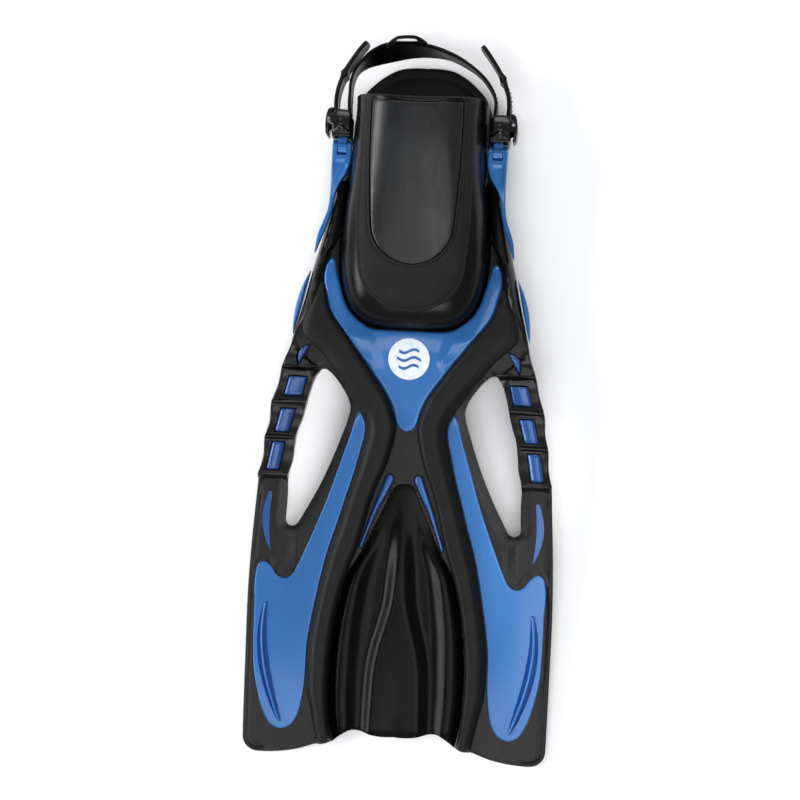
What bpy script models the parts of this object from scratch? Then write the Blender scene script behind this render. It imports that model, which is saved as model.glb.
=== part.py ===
"""Adjustable open-heel swim fin, lying sole down on a flat surface.

Lengths are millimetres until a mesh is made (MM turns them into metres). X is across the fin, Y runs from
the blade tip towards the heel and Z is up. Plan outlines are drawn on a flat sheet, with y = 0 at the waist,
and arch() says how far each point is lifted, because the sole and the blade meet at a shallow angle under the
toes. Right-hand pieces are drawn and the left-hand ones are their mirror images.
"""

import math

import bpy
import numpy as np
from mathutils import Vector
from mathutils.geometry import delaunay_2d_cdt

MM = 0.001
GAP = 0.3  # clearance kept between separate pieces

# Overall size
BLADE_TIP_Y = -267.5
HEEL_Y = 287.0
CENTRE_Y = 22.06  # middle of the whole fin along Y, which becomes the origin

# Arch: the blade and the sole each climb to the toes
HEEL_REST_Y = 285.0
SOLE_SLOPE = 0.11
BLADE_SLOPE = 0.08
ARCH_SOFTNESS = 5.0

# Side arms
ARM_HALF = 3.0  # half-height along the rail, growing to EAR_RADIUS at the pivot
ARM_CLEAR = 0.7

# Heights above the flat sheet
SOLE_BOTTOM = 1.5
SOLE_TOP = 5.0
BLADE_TOP = 4.5
STRUT_RISE = 6.5
EDGE_RISE = 2.0
RAIL_THICKNESS = 10.0
PANEL_THICKNESS = 2.4
MEMBRANE_THICKNESS = 2.4

# Crest badge
BADGE_Y = 53.5
BADGE_RADIUS = 17.0
BADGE_THICKNESS = 0.8

# Foot pocket
POCKET_TOE_Y = 77.0
POCKET_RIM_Y = 262.0
POCKET_WALL = 3.0
POCKET_ROUNDNESS = 2.9  # exponent of the superellipse cross-section
POCKET_WIDTHS = ((77, 28), (78.5, 34), (81, 38.6), (85, 43.6), (90, 48.6), (97, 52.6), (106, 56),
                 (120, 59), (140, 60), (165, 58.6), (195, 55.6), (228, 53.6), (262, 53))
POCKET_HEIGHTS = ((77, 12), (81, 21), (85, 26), (90, 30.5), (97, 35), (106, 39), (120, 44), (140, 50),
                  (165, 56), (195, 62.5), (228, 68.5), (262, 73))

# Heel strap, buckles and their pivots
PIVOT_Y = 221.0
PIVOT_Z = 30.0
PIVOT_X = 62.5
STRAP_TILT = math.radians(-6)
PIVOT_RADIUS = 2.5
EAR_RADIUS = 6.3
SLOT_HALF = 3.9
TONGUE_HALF = 3.4
BUCKLE_INNER_X, BUCKLE_OUTER_X = 56.0, 71.0
BUCKLE_HALF = 13.0
CHEEK = 2.4
WALL_FRONT, WALL_BACK = 7.0, 10.4
CHEEK_BACK = 29.0
ROLLER_X, ROLLER_Y = 63.7, 18.6
ROLLER_RADIUS = 4.0
AXLE_RADIUS = 1.3
STRAP_THICKNESS = 2.5
STRAP_HALF = 10.0
HEEL_BAND_HALF = 14.0
BAND_FLARE = 0.16  # outward lean of the band behind the heel
TAIL_RISE = 12.0
TAB_X = -14.5
TAB_HALF = 17.0
TAB_TOP = 28.5
TAB_THICKNESS = 3.0
TAB_CORNER = 6.0
TAB_TAPER = 2.0
HEEL_BAND_Y = 80.5  # from the pivot to the middle of the band behind the heel
LEVER_X, LEVER_Y = 74.2, 21.0
LEVER_PIN_RADIUS = 1.2
LEVER_HALF = 9.0
KNUCKLE_RADIUS = 2.3
SPRING_HALF = 3.2

SIDES = (("right", 1), ("left", -1))


# ---------------------------------------------------------------- scene and materials

def clear_scene():
    for obj in list(bpy.data.objects):
        bpy.data.objects.remove(obj, do_unlink=True)


def material(name, colour, roughness, metallic=0.0):
    made = bpy.data.materials.new(name)
    made.use_nodes = True
    shader = made.node_tree.nodes["Principled BSDF"]
    shader.inputs["Base Color"].default_value = (*colour, 1.0)
    shader.inputs["Roughness"].default_value = roughness
    shader.inputs["Metallic"].default_value = metallic
    return made


def make_materials():
    return {
        "blue": material("blue_gloss_plastic", (0.045, 0.17, 0.55), 0.22),
        "frame": material("black_satin_plastic", (0.012, 0.012, 0.013), 0.32),
        "gloss": material("black_gloss_rubber", (0.008, 0.008, 0.009), 0.18),
        "matte": material("black_matte_rubber", (0.026, 0.026, 0.028), 0.62),
        "pale": material("pale_print", (0.75, 0.80, 0.86), 0.4),
        "steel": material("stainless_steel", (0.55, 0.56, 0.58), 0.28, 1.0),
    }


def empty(name, location, parent=None, tilt=0.0):
    made = bpy.data.objects.new(name, None)
    made.empty_display_size = 0.02
    bpy.context.scene.collection.objects.link(made)
    made.parent = parent
    made.location = Vector(location) * MM
    made.rotation_euler.x = tilt
    return made


def add_object(name, vertices, faces, slot, parent, smooth=True):
    mesh = bpy.data.meshes.new(name)
    mesh.from_pydata([Vector(v) * MM for v in vertices], [], faces)
    if slot is not None:
        mesh.materials.append(slot)
    if smooth:
        mesh.shade_smooth()
        mesh.set_sharp_from_angle(angle=math.radians(35))
    made = bpy.data.objects.new(name, mesh)
    bpy.context.scene.collection.objects.link(made)
    made.parent = parent
    return made


def make_cutter(obj):
    obj.hide_render = True
    obj.display_type = "WIRE"
    return obj


def boolean(target, other, operation="DIFFERENCE"):
    modifier = target.modifiers.new(other.name, "BOOLEAN")
    modifier.operation = operation
    modifier.solver = "EXACT"
    modifier.object = make_cutter(other)


# ---------------------------------------------------------------- plan geometry

def ramp(value, low, high):
    """0 below low, 1 above high, smooth between."""
    t = np.clip((value - low) / (high - low), 0.0, 1.0)
    return t * t * (3.0 - 2.0 * t)


def arch(y):
    """Height of the arched sheet above the floor at y."""
    sole = (HEEL_REST_Y - y) * SOLE_SLOPE
    blade = (y - BLADE_TIP_Y) * BLADE_SLOPE
    low = np.minimum(sole, blade)
    return low - ARCH_SOFTNESS * np.log1p(np.exp(-np.abs(sole - blade) / ARCH_SOFTNESS))


def curve(*knots, step=9.0):
    """Points on a smooth curve through the knots, without the last knot."""
    p = np.array(knots, float)
    if len(p) == 2:
        count = max(1, round(np.linalg.norm(p[1] - p[0]) / step))
        return [tuple(p[0] + (p[1] - p[0]) * i / count) for i in range(count)]
    chord = np.linalg.norm(np.diff(p, axis=0), axis=1)
    slope = np.diff(p, axis=0) / chord[:, None]
    tangent = np.empty_like(p)
    weight = chord[1:, None] / (chord[:-1] + chord[1:])[:, None]
    tangent[1:-1] = slope[:-1] * weight + slope[1:] * (1 - weight)
    tangent[0] = 2 * slope[0] - tangent[1]
    tangent[-1] = 2 * slope[-1] - tangent[-2]
    points = []
    for a, b, ta, tb, length in zip(p[:-1], p[1:], tangent[:-1], tangent[1:], chord):
        count = max(1, round(length / step))
        for i in range(count):
            t = i / count
            points.append(tuple(
                a * (1 + 2 * t) * (1 - t) ** 2 + ta * length * t * (1 - t) ** 2
                + b * t * t * (3 - 2 * t) + tb * length * t * t * (t - 1)))
    return points


def arc(centre, radius, start, end, count):
    """Points on an arc, angles in degrees, without the last one."""
    angles = np.radians(np.linspace(start, end, count + 1)[:-1])
    return [(centre[0] + radius * math.cos(a), centre[1] + radius * math.sin(a)) for a in angles]


def both_halves(right_half):
    """A symmetric outline from its right half, which starts and ends on the centre line."""
    left = [(-x, y) for x, y in reversed(right_half) if abs(x) > 1e-6]
    return right_half + left


def mirror_outline(outline):
    return [(-x, y) for x, y in reversed(outline)]


def edge_distance(points, loops):
    """Distance of each point from the nearest loop."""
    best = np.full(len(points), np.inf)
    for loop in loops:
        a = np.array(loop, float)
        b = np.roll(a, -1, axis=0)
        along = b - a
        t = ((points[:, None] - a) * along).sum(2) / np.maximum((along ** 2).sum(1), 1e-12)
        foot = a + np.clip(t, 0, 1)[..., None] * along
        best = np.minimum(best, np.linalg.norm(points[:, None] - foot, axis=2).min(1))
    return best


def inside(points, loop):
    x, y = points[:, 0], points[:, 1]
    result = np.zeros(len(points), bool)
    for (x1, y1), (x2, y2) in zip(loop, loop[1:] + loop[:1]):
        if y1 == y2:
            continue
        crosses = ((y1 > y) != (y2 > y)) & (x < (x2 - x1) * (y - y1) / (y2 - y1) + x1)
        result ^= crosses
    return result


def filling_points(outline, holes, grid, rows):
    """Points inside the outline: rows parallel to its edge, then an even grid."""
    loops = [outline, *holes]
    found = []
    for loop in loops:
        p = np.array(loop, float)
        direction = np.roll(p, -1, axis=0) - np.roll(p, 1, axis=0)
        normal = np.stack([-direction[:, 1], direction[:, 0]], 1)
        normal /= np.maximum(np.linalg.norm(normal, axis=1), 1e-9)[:, None]
        for row in rows:
            moved = p + normal * row
            found += list(moved[edge_distance(moved, loops) > row * 0.93])
    low, high = np.min(outline, axis=0), np.max(outline, axis=0)
    xs, ys = np.meshgrid(np.arange(low[0] + grid / 2, high[0], grid), np.arange(low[1], high[1], grid))
    even = np.stack([xs.ravel(), ys.ravel()], 1)
    last = rows[-1] if rows else 0.0
    even = even[inside(even, outline)]
    even = even[edge_distance(even, loops) > last + grid * 0.45]
    for hole in holes:
        even = even[~inside(even, hole)]
    kept = [q for q in found if inside(np.array([q]), outline)[0]
            and not any(inside(np.array([q]), hole)[0] for hole in holes)]
    return kept + list(even)


def plate(name, outline, bottom, top, slot, parent, holes=(), grid=9.0, rows=(2.5,), arched=True):
    """A closed solid between the height functions bottom and top over a plan outline.

    A height function takes arrays of x, y and the distance from the plate's edge. Holes run clockwise.
    """
    points, edges = [], []
    for loop in (outline, *holes):
        start = len(points)
        points += loop
        edges += [(start + i, start + (i + 1) % len(loop)) for i in range(len(loop))]
    points += [tuple(q) for q in filling_points(outline, holes, grid, rows)]
    flat, _, triangles, *_ = delaunay_2d_cdt([Vector(q) for q in points], edges, [], 1, 1e-4)
    plan = np.array([tuple(v) for v in flat])
    middles = plan[np.array(triangles)].mean(axis=1)
    kept = inside(middles, outline)
    for hole in holes:
        kept &= ~inside(middles, hole)
    triangles = [triangle for triangle, keep in zip(triangles, kept) if keep]
    away = edge_distance(plan, (outline, *holes))
    x, y = plan[:, 0], plan[:, 1]
    raised = arch(y) if arched else 0.0
    low = np.stack([x, y, bottom(x, y, away) + raised], 1)
    high = np.stack([x, y, top(x, y, away) + raised], 1)
    count = len(plan)
    faces, used = [], {}
    for a, b, c in triangles:
        area = (x[b] - x[a]) * (y[c] - y[a]) - (x[c] - x[a]) * (y[b] - y[a])
        tri = (a, b, c) if area > 0 else (a, c, b)
        faces.append(tuple(v + count for v in tri))
        faces.append(tri[::-1])
        for edge in zip(tri, tri[1:] + tri[:1]):
            used[edge] = True
    for a, b in used:
        if (b, a) not in used:
            faces.append((a, b, b + count, a + count))
    return add_object(name, np.vstack([low, high]), faces, slot, parent)


def level(height):
    return lambda x, y, d: np.full_like(x, height)


def mirrored(obj, name, parent):
    """A mirror-image copy of a right-hand piece across the centre plane."""
    vertices = [(-v.co.x / MM, v.co.y / MM, v.co.z / MM) for v in obj.data.vertices]
    faces = [tuple(reversed(face.vertices)) for face in obj.data.polygons]
    return add_object(name, vertices, faces, obj.data.materials[0], parent)


def pair(name, outline, bottom, top, slot, parent, **options):
    right = plate(name + "_right", outline, bottom, top, slot, parent, **options)
    mirrored(right, name + "_left", parent)


# ---------------------------------------------------------------- outlines (right-hand side)

def pocket_width(y):
    return np.interp(y, *zip(*POCKET_WIDTHS))


def pocket_height(y):
    return np.interp(y, *zip(*POCKET_HEIGHTS))


def pocket_surface(x, y):
    """Height of the pocket's outer skin over a plan point."""
    across = np.clip(np.abs(x) / pocket_width(y), 0, 0.995)
    crown = (1 - across ** POCKET_ROUNDNESS) ** (1 / POCKET_ROUNDNESS)
    return SOLE_TOP + GAP + pocket_height(y) * crown


def scoop_edge():
    """Edge of the soft centre channel, from its point down to the blade tip."""
    return curve((0, -46.5), (5, -47.5), (8.5, -51), (12.5, -60), (18, -72), (23.5, -84), (29, -97),
                 (36, -109), (42, -119), (48, -140), (53, -172), (54.8, -212), (53, -240), (49.5, -256))


def vent_outline():
    """The water vent between the blade stripe and the side strut, anticlockwise."""
    outer = curve((84.6, -81.5), (80, -73), (70, -54), (60, -31), (52, -9), (47.5, 5), (46, 13), (48, 20),
                  (54, 30), (60, 37.5), (66, 42.5))
    top = curve((66, 42.5), (70.5, 42.6), (73.5, 39), (79.5, 23), (82, 12), (84.5, 2), (88, -8), (89.8, -20),
                (91, -32), (93.7, -42), (94, -60), (94.8, -78))
    return list(reversed(outer + top + arc((89.6, -79), 5.2, 0, -150, 5)))


def frame_outline():
    bottom_edge = curve((49.5, -256), (62.5, -258.8), (78, -264), (95, -267), (110, -267.5))
    corner = arc((110, -255), 12.5, -90, 0, 4)
    side = curve((122.5, -255), (123, -200), (122.8, -130), (121, -90), (119, -60), (118, -42))
    strut = curve((118, -42), (115, -30), (114, -14), (111, -2), (110, 12), (104.5, 30), (102, 42),
                  (96, 60), (94.8, 66))
    flank = curve((94.8, 66), (91.5, 80), (86.5, 100), (82, 120), (76, 145), (70, 170), (66, 190))
    sole = curve((66, 190), (61, 203), (57.5, 222), (56, 245), (54, 258), (48, 268), (40, 275), (30, 282),
                 (18, 286), (0, HEEL_Y))
    return both_halves(scoop_edge() + bottom_edge + corner + side + strut + flank + sole + [(0, HEEL_Y)])


def crest_outline():
    outer = curve((0, -4.3), (4, -3.5), (7.5, 0), (10.5, 10), (14.6, 20), (20.7, 30), (28, 40), (35, 50),
                  (42.8, 60), (50.2, 70), (58.4, 80), (65, 90), (69.2, 105), (71.4, 115), (71, 120),
                  (67.5, 130), (65.5, 132.3), (63.5, 131.5))
    inner = curve((63.5, 131.5), (60.8, 120), (57.8, 110), (54.9, 100), (49.7, 90), (44.7, 85),
                  (38.7, 80.3), (34, 77.4), (28, 76), (23, 75.9), (0, 75.9))
    return both_halves(outer + inner + [(0, 75.9)])


def rail_outline():
    inner = curve((72.6, 114), (70, 105), (65.8, 90), (59.2, 80), (51, 70), (43.6, 60), (35.8, 50),
                  (28.8, 40), (21.5, 30), (15.4, 20), (11.3, 10), (8.6, 0), (8.6, -6), (11.5, -20),
                  (14.2, -30), (18, -40), (22.2, -50), (25.4, -60), (30.4, -80), (35.7, -100), (42.2, -118),
                  (48.3, -140), (53.3, -172), (55.1, -212), (53.3, -240), (50.3, -256))
    foot = curve((50.3, -256), (62.3, -258.6))
    outer = curve((62.3, -258.6), (68.2, -230), (71.6, -215), (72.3, -200), (72, -180), (69.5, -160),
                  (66, -140), (62.2, -120), (57.5, -100), (51.3, -80), (45.8, -60), (39.8, -40), (35, -20),
                  (32.8, -10), (32.4, 0), (33.8, 5), (38, 12), (44, 20), (52, 32), (60, 42), (69.5, 54.5),
                  (80, 64), (86, 71), (85.5, 85), (80, 98), (73.6, 113.5))
    return list(inner + foot + outer)


def blade_panel_outline():
    inner = curve((38.6, 11.2), (34.7, 4.5), (33.3, 0), (33.7, -10), (36, -20), (40.8, -40), (46.7, -60),
                  (52.3, -80), (58.5, -100), (63.2, -120), (67, -140), (70.5, -160), (73, -180),
                  (73.3, -200), (73.8, -212), (75.6, -225), (79, -238), (84, -245), (92, -248))
    outer = curve((92, -248), (100, -245), (106, -236), (111.5, -219), (115.4, -200), (116.6, -180),
                  (116.8, -150), (116.6, -122), (115, -116), (111, -113.6), (106, -116), (99, -124.5),
                  (93.5, -126.8), (88, -124), (83, -115), (76.6, -100), (68.6, -80), (61.2, -60),
                  (54.8, -40), (48.4, -20), (45.2, -10), (41.2, 5))
    return inner + outer


def crescent(top, bottom, outer, inner):
    """A pointed crescent between two bulging sides, anticlockwise, with the outer side at larger x."""
    return curve(top, inner, bottom, step=6) + curve(bottom, outer, top, step=6)


# ---------------------------------------------------------------- height functions

def deck(x, y):
    """Top of the frame: a thin blade that thickens into the toe shoulder and the side rails."""
    shoulder = 9.5 * ramp(y, -12, 76) + 4.0 * ramp(y, 76, 130)
    past_rail = ramp(y, 190, 206)
    return BLADE_TOP + shoulder * (1 - past_rail) + (SOLE_TOP - BLADE_TOP) * past_rail


def frame_top(x, y, d):
    ax = np.abs(x)
    past_vent = 1.1 * np.maximum(y - 38, 0)
    strut = STRUT_RISE * ramp(y, -53, -46) * (1 - ramp(y, 48, 60)) * ramp(ax - past_vent, 74, 79)
    blade_edge = EDGE_RISE * (1 - ramp(y, -60, -50)) * ramp(ax, 100, 108) * (1 - ramp(d, 2.2, 4.2))
    side_round = 4.0 * ramp(y, 66, 100) * (1 - ramp(y, 180, 206)) * (1 - ramp(d, 0, 5))
    return deck(x, y) + strut + blade_edge - side_round - 0.8 * (1 - ramp(d, 0, 2))


def frame_bottom(x, y, d):
    return SOLE_BOTTOM * ramp(y, 30, 75)


def rail_top(x, y, d):
    flatter = 1 - 0.45 * ramp(y, 10, 70)
    crown = np.sqrt(1 - (1 - np.clip(d / 8.0, 0, 1)) ** 2)
    return deck(x, y) + GAP + 2.0 + (RAIL_THICKNESS - 2.0) * flatter * crown


def over_deck(rise):
    return lambda x, y, d: deck(x, y) + rise


def membrane_top(x, y, d):
    """Soft centre channel: a widening wedge between two troughs, rising to the rails."""
    ax = np.abs(x)
    down = ramp(-y, 60, 200)
    edge = np.interp(y, (-256, -240, -212, -172, -140, -118, -97, -72, -50),
                     (49, 53, 54.8, 53, 48, 42, 29, 18, 8.5))
    wedge = 7.0 * down * (1 - ramp(ax, 0.55 * (1 + 17 * down), 2.5 + 20 * down))
    shoulder = (4.5 + 2.0 * down) * ramp(ax, 0.52 * edge, 0.85 * edge)
    return 2.8 + wedge + shoulder


# ---------------------------------------------------------------- blade, frame and panels

def make_frame(mats, root):
    frame = plate("blade_frame", frame_outline(), frame_bottom, frame_top, mats["frame"], root,
                  holes=[vent_outline(), mirror_outline(vent_outline())], grid=11.0,
                  rows=(2.2, 4.6))
    bed = [(pocket_width(y) + 0.5, y) for y, _ in POCKET_WIDTHS[:-1]]
    bed = [(0, POCKET_TOE_Y - 0.5)] + [(bed[0][0], POCKET_TOE_Y - 0.5)] + bed[1:] + [(53.6, 300), (0, 300)]
    cutter = plate("pocket_bed_cutter", both_halves(bed), level(SOLE_TOP), level(60), None, root, rows=())
    boolean(frame, cutter)
    for side, sign in SIDES:
        wells = [(grow(outline, 1.4), level(SOLE_TOP)) for outline in strut_windows()]
        wells.append((grow(strut_crescent_outline(), 0.6), over_deck(2.0)))
        for number, (outline, floor) in enumerate(wells, 1):
            placed = outline if sign > 0 else mirror_outline(outline)
            boolean(frame, plate(f"well_cutter_{number}_{side}", placed, floor, level(40), None, root, rows=()))


def strut_crescent_outline():
    return crescent((80, 61.5), (88.5, 45.5), (88, 56), (83.6, 53.5))


def strut_windows():
    """The three slanted blue inserts of the right-hand strut, from heel to tip."""
    return (
        [(81.5, 35.5), (85, 20.5), (99.5, 20.5), (95.5, 35.5)],
        [(90, 9.5), (95, -9), (106, -9), (101.5, 9.5)],
        [(97.5, -17.5), (101.5, -39.5), (111.5, -39.5), (107.5, -17.5)],
    )


def grow(outline, amount):
    """The outline moved outwards by amount, corner by corner."""
    p = np.array(outline, float)
    along = np.roll(p, -1, axis=0) - p
    along /= np.linalg.norm(along, axis=1)[:, None]
    out = np.stack([along[:, 1], -along[:, 0]], 1)
    before = np.roll(out, 1, axis=0)
    corner = (out + before) / (1 + (out * before).sum(1))[:, None]
    return [tuple(q) for q in p + corner * amount]


def make_panels(mats, root):
    blue, matte = mats["blue"], mats["matte"]
    plate("crest_panel", crest_outline(), over_deck(GAP), over_deck(GAP + PANEL_THICKNESS), blue, root)
    badge, badge_base = arc((0, BADGE_Y), BADGE_RADIUS, 0, 360, 28), 2 * GAP + PANEL_THICKNESS
    plate("crest_badge", badge, over_deck(badge_base), over_deck(badge_base + BADGE_THICKNESS), mats["pale"], root,
          rows=(), grid=7)
    pair("rail", rail_outline(), over_deck(GAP), rail_top, matte, root, grid=8.0, rows=(2.2, 5.5))
    pair("blade_panel", blade_panel_outline(), over_deck(GAP),
         lambda x, y, d: deck(x, y) + GAP + PANEL_THICKNESS - 0.8 * (1 - ramp(d, 0, 2)), blue, root, grid=14.0)
    membrane = both_halves([(x - GAP, y) if x > 1 else (x, y - GAP) for x, y in scoop_edge()]
                           + curve((49.2, -256), (42, -250), (34, -246), (27, -246.5), (20, -248.8),
                                   (12, -250), (0, -249.8)) + [(0, -249.8)])
    plate("scoop_membrane", membrane, lambda x, y, d: membrane_top(x, y, d) - MEMBRANE_THICKNESS,
          membrane_top, mats["gloss"], root, grid=8.0)


def make_inserts(mats, root):
    blue = mats["blue"]
    for number, outline in enumerate(strut_windows(), 1):
        pair(f"strut_insert_{number}", outline, level(SOLE_TOP + GAP),
             lambda x, y, d: deck(x, y) + STRUT_RISE - 0.8 - 1.6 * (1 - ramp(d, 0, 4)), blue, root,
             grid=5.0, rows=(1.5,))
    low, high = over_deck(0.7), over_deck(3.2)
    long_crescent = crescent((107.3, -57), (105.5, -105.5), (114, -81), (107.2, -81))
    pair("edge_crescent", long_crescent, low, high, blue, root, rows=(), grid=20)
    slim = curve((9.2, -43.5), (15.2, -57), (20.2, -67), (26, -82), (31.4, -97)) + \
        curve((31.4, -97), (32.6, -99.2), (33.8, -96.5)) + \
        curve((33.8, -96.5), (29.6, -85), (23.8, -68), (18.8, -55), (14, -43)) + \
        curve((14, -43), (12.6, -39.8), (10, -40), (9.2, -43.5), step=3)
    pair("scoop_insert", slim, low, high, blue, root, rows=(), grid=20)
    leaf = crescent((83.4, 121), (95, 70), (92.6, 98), (88.4, 97))
    pair("flank_insert", leaf, over_deck(-9), over_deck(-1), blue, root, rows=(), grid=20)
    pair("strut_crescent", strut_crescent_outline(), over_deck(2.0 + GAP), over_deck(6.4), blue, root,
         rows=(), grid=20)


# ---------------------------------------------------------------- foot pocket and sole

def make_pocket(mats, root):
    """A thin shell, open underneath and at the heel: outer skin, inner skin, and the rims between them."""
    stations = [y for y, _ in POCKET_WIDTHS]
    across = 20
    angles = np.linspace(0, math.pi, across + 1)
    cosines = np.sign(np.cos(angles)) * np.abs(np.cos(angles)) ** (2 / POCKET_ROUNDNESS)
    sines = np.abs(np.sin(angles)) ** (2 / POCKET_ROUNDNESS)
    sines[0] = sines[-1] = 0.0
    base = SOLE_TOP + GAP
    vertices = []
    for inset in (0.0, POCKET_WALL):
        for y in stations:
            inner_y = y if inset == 0 or y == stations[-1] else max(y, POCKET_TOE_Y) + inset * (y < 100)
            width, height = pocket_width(y) - inset, pocket_height(y) - inset
            for c, s in zip(cosines, sines):
                vertices.append((width * c, inner_y, base + height * s + arch(inner_y)))
    rows, columns = len(stations), across + 1
    shell = rows * columns

    def outer(i, j):
        return i * columns + j

    def inner(i, j):
        return shell + i * columns + j

    faces = []
    for i in range(rows - 1):
        for j in range(across):
            faces.append((outer(i, j), outer(i + 1, j), outer(i + 1, j + 1), outer(i, j + 1)))
            faces.append((inner(i, j), inner(i, j + 1), inner(i + 1, j + 1), inner(i + 1, j)))
        faces.append((outer(i, 0), inner(i, 0), inner(i + 1, 0), outer(i + 1, 0)))
        faces.append((outer(i, across), outer(i + 1, across), inner(i + 1, across), inner(i, across)))
    last = rows - 1
    for j in range(across):
        faces.append((outer(last, j), inner(last, j), inner(last, j + 1), outer(last, j + 1)))
    faces.append(tuple(outer(0, j) for j in range(columns)))
    faces.append(tuple(inner(0, j) for j in range(across, -1, -1)))
    faces.append((outer(0, 0), outer(0, across), inner(0, across), inner(0, 0)))
    return add_object("foot_pocket", vertices, faces, mats["gloss"], root)


def instep_loop(widths, end):
    """A long U on top of the pocket: half-widths from the rim forwards, then a round end at y = end."""
    right = curve(*widths)
    last_x, last_y = widths[-1]
    for k in range(5):
        angle = math.pi / 2 * k / 5
        right.append((last_x * math.cos(angle), last_y - (last_y - end) * math.sin(angle)))
    right.append((0, end))
    return right


def make_instep(mats, root):
    rim = POCKET_RIM_Y - 1.0
    panel = instep_loop(((36, rim), (35.4, 200), (33, 160)), 126.5)
    bezel_in = [(x + 0.5, y) if x > 0 else (x, y - 0.5) for x, y in panel]
    bezel_out = instep_loop(((44, rim), (45, 200), (45, 150), (43, 128)), 89.5)
    half = list(reversed(bezel_out))
    ring = half + bezel_in + [(-x, y) for x, y in reversed(bezel_in) if x > 0]
    ring += [(-x, y) for x, y in reversed(half) if x > 0]

    def over_pocket(rise):
        return lambda x, y, d: pocket_surface(x, y) + rise

    plate("instep_bezel", ring, over_pocket(0.9), over_pocket(2.6), mats["matte"], root, grid=8, rows=())
    rim_edge = curve((36, rim), (0, rim))[1:] + [(0, rim)]
    whole = both_halves(list(reversed(panel)) + rim_edge)
    plate("instep_panel", whole, over_pocket(0.9), over_pocket(2.1), mats["gloss"], root, grid=7.5, rows=())


def make_sole(mats, root):
    inner = POCKET_WALL + 0.7
    bed = [(0, 82.0), (24, 82.0)] + [(pocket_width(y - 4) - inner, y) for y in (86, 92, 100, 112)]
    bed += [(pocket_width(y) - inner, y) for y in (130, 160, 195, 230)]
    bed += curve((49, 255), (45, 266), (38, 272.5), (28, 279), (17, 282.6), (0, 283.5)) + [(0, 283.5)]
    plate("footbed", both_halves(bed), level(SOLE_TOP + GAP), level(SOLE_TOP + 2.3), mats["matte"], root,
          grid=22, rows=())
    heel = curve((0, 236), (30, 236)) + curve((30, 236), (42, 240), (46, 250), (42, 264), (30, 276), (15, 281.5), (0, 282.5))
    plate("heel_grip_pad", both_halves(heel + [(0, 282.5)]), lambda x, y, d: -arch(y), level(SOLE_BOTTOM - GAP),
          mats["matte"], root, grid=18, rows=())
    toe = curve((0, 96), (30, 98)) + curve((30, 98), (44, 106), (49, 125), (46, 145), (30, 152), (0, 153))
    plate("toe_grip_pad", both_halves(toe + [(0, 153)]), level(0.0), level(SOLE_BOTTOM - GAP), mats["matte"],
          root, grid=18, rows=())


# ---------------------------------------------------------------- side arms, buckles and strap

def make_arms(mats, root):
    inner_ear, outer_ear = PIVOT_X - SLOT_HALF, PIVOT_X + SLOT_HALF
    outline = curve((80, 135), (79.6, 142), (78.4, 150), (75, 160), (71.8, 170), (70.6, 180), (70.2, 190),
                    (70.3, 205), (70.5, PIVOT_Y), step=7)
    end = PIVOT_Y + EAR_RADIUS
    outline += curve((70.5, PIVOT_Y), (70.4, end), step=2.2)
    outline += [(70.4, end), (outer_ear, end)]
    outline += [(outer_ear, PIVOT_Y + 3), (outer_ear, PIVOT_Y), (outer_ear, 213), (inner_ear, 213),
                (inner_ear, PIVOT_Y), (inner_ear, PIVOT_Y + 3), (inner_ear, end)]
    outline += curve((55, end), (55, PIVOT_Y), step=2.2)
    outline += curve((55, PIVOT_Y), (55, 210), (58, 200), (63, 192), (66.3, 183), (67.6, 172), (69.6, 164),
                     (73, 153), (76, 145), (79, 136), step=7)

    def middle(y):
        on_rail = deck(0 * y, np.minimum(y, 188.0)) + ARM_CLEAR + ARM_HALF
        return on_rail + (PIVOT_Z - arch(PIVOT_Y) - on_rail) * ramp(y, 172, 208)

    def half(y):
        body = ARM_HALF + (EAR_RADIUS - ARM_HALF) * ramp(y, 175, 206)
        past = np.clip((y - PIVOT_Y) / EAR_RADIUS, 0, 0.985)
        return body * np.sqrt(1 - past ** 2)

    right = plate("side_arm_right", outline, lambda x, y, d: middle(y) - half(y),
                  lambda x, y, d: middle(y) + half(y), mats["blue"], root, grid=12, rows=())
    left = mirrored(right, "side_arm_left", root)
    for arm, sign in ((right, 1), (left, -1)):
        bore = rod(f"arm_bore_{sign}", (sign * PIVOT_X, PIVOT_Y, PIVOT_Z), PIVOT_RADIUS + GAP, 12, None, root, "X")
        boolean(arm, bore)


def rod(name, centre, radius, half_length, slot, parent, axis, sides=16):
    """A plain round bar about an axis through its centre."""
    vertices, faces = [], []
    for end in (-half_length, half_length):
        for k in range(sides):
            a = 2 * math.pi * k / sides
            ring = {"X": (end, radius * math.cos(a), radius * math.sin(a)),
                    "Z": (radius * math.cos(a), radius * math.sin(a), end)}[axis]
            vertices.append(tuple(c + r for c, r in zip(centre, ring)))
    for k in range(sides):
        n = (k + 1) % sides
        faces.append((k, n, n + sides, k + sides))
    faces.append(tuple(range(sides))[::-1])
    faces.append(tuple(range(sides, 2 * sides)))
    return add_object(name, vertices, faces, slot, parent)


def tube(name, centre, radius, bore, low, high, slot, parent, sides=16):
    """A plain round sleeve about a Z axis."""
    outer = arc(centre, radius, 0, 360, sides)
    hole = list(reversed(arc(centre, bore, 0, 360, sides)))
    return plate(name, outer, level(low), level(high), slot, parent, holes=[hole], grid=50, rows=(), arched=False)


def block(name, low, high, slot, parent):
    (x0, y0, z0), (x1, y1, z1) = low, high
    outline = [(x0, y0), (x1, y0), (x1, y1), (x0, y1)]
    return plate(name, outline, level(z0), level(z1), slot, parent, grid=500, rows=(), arched=False)


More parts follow.
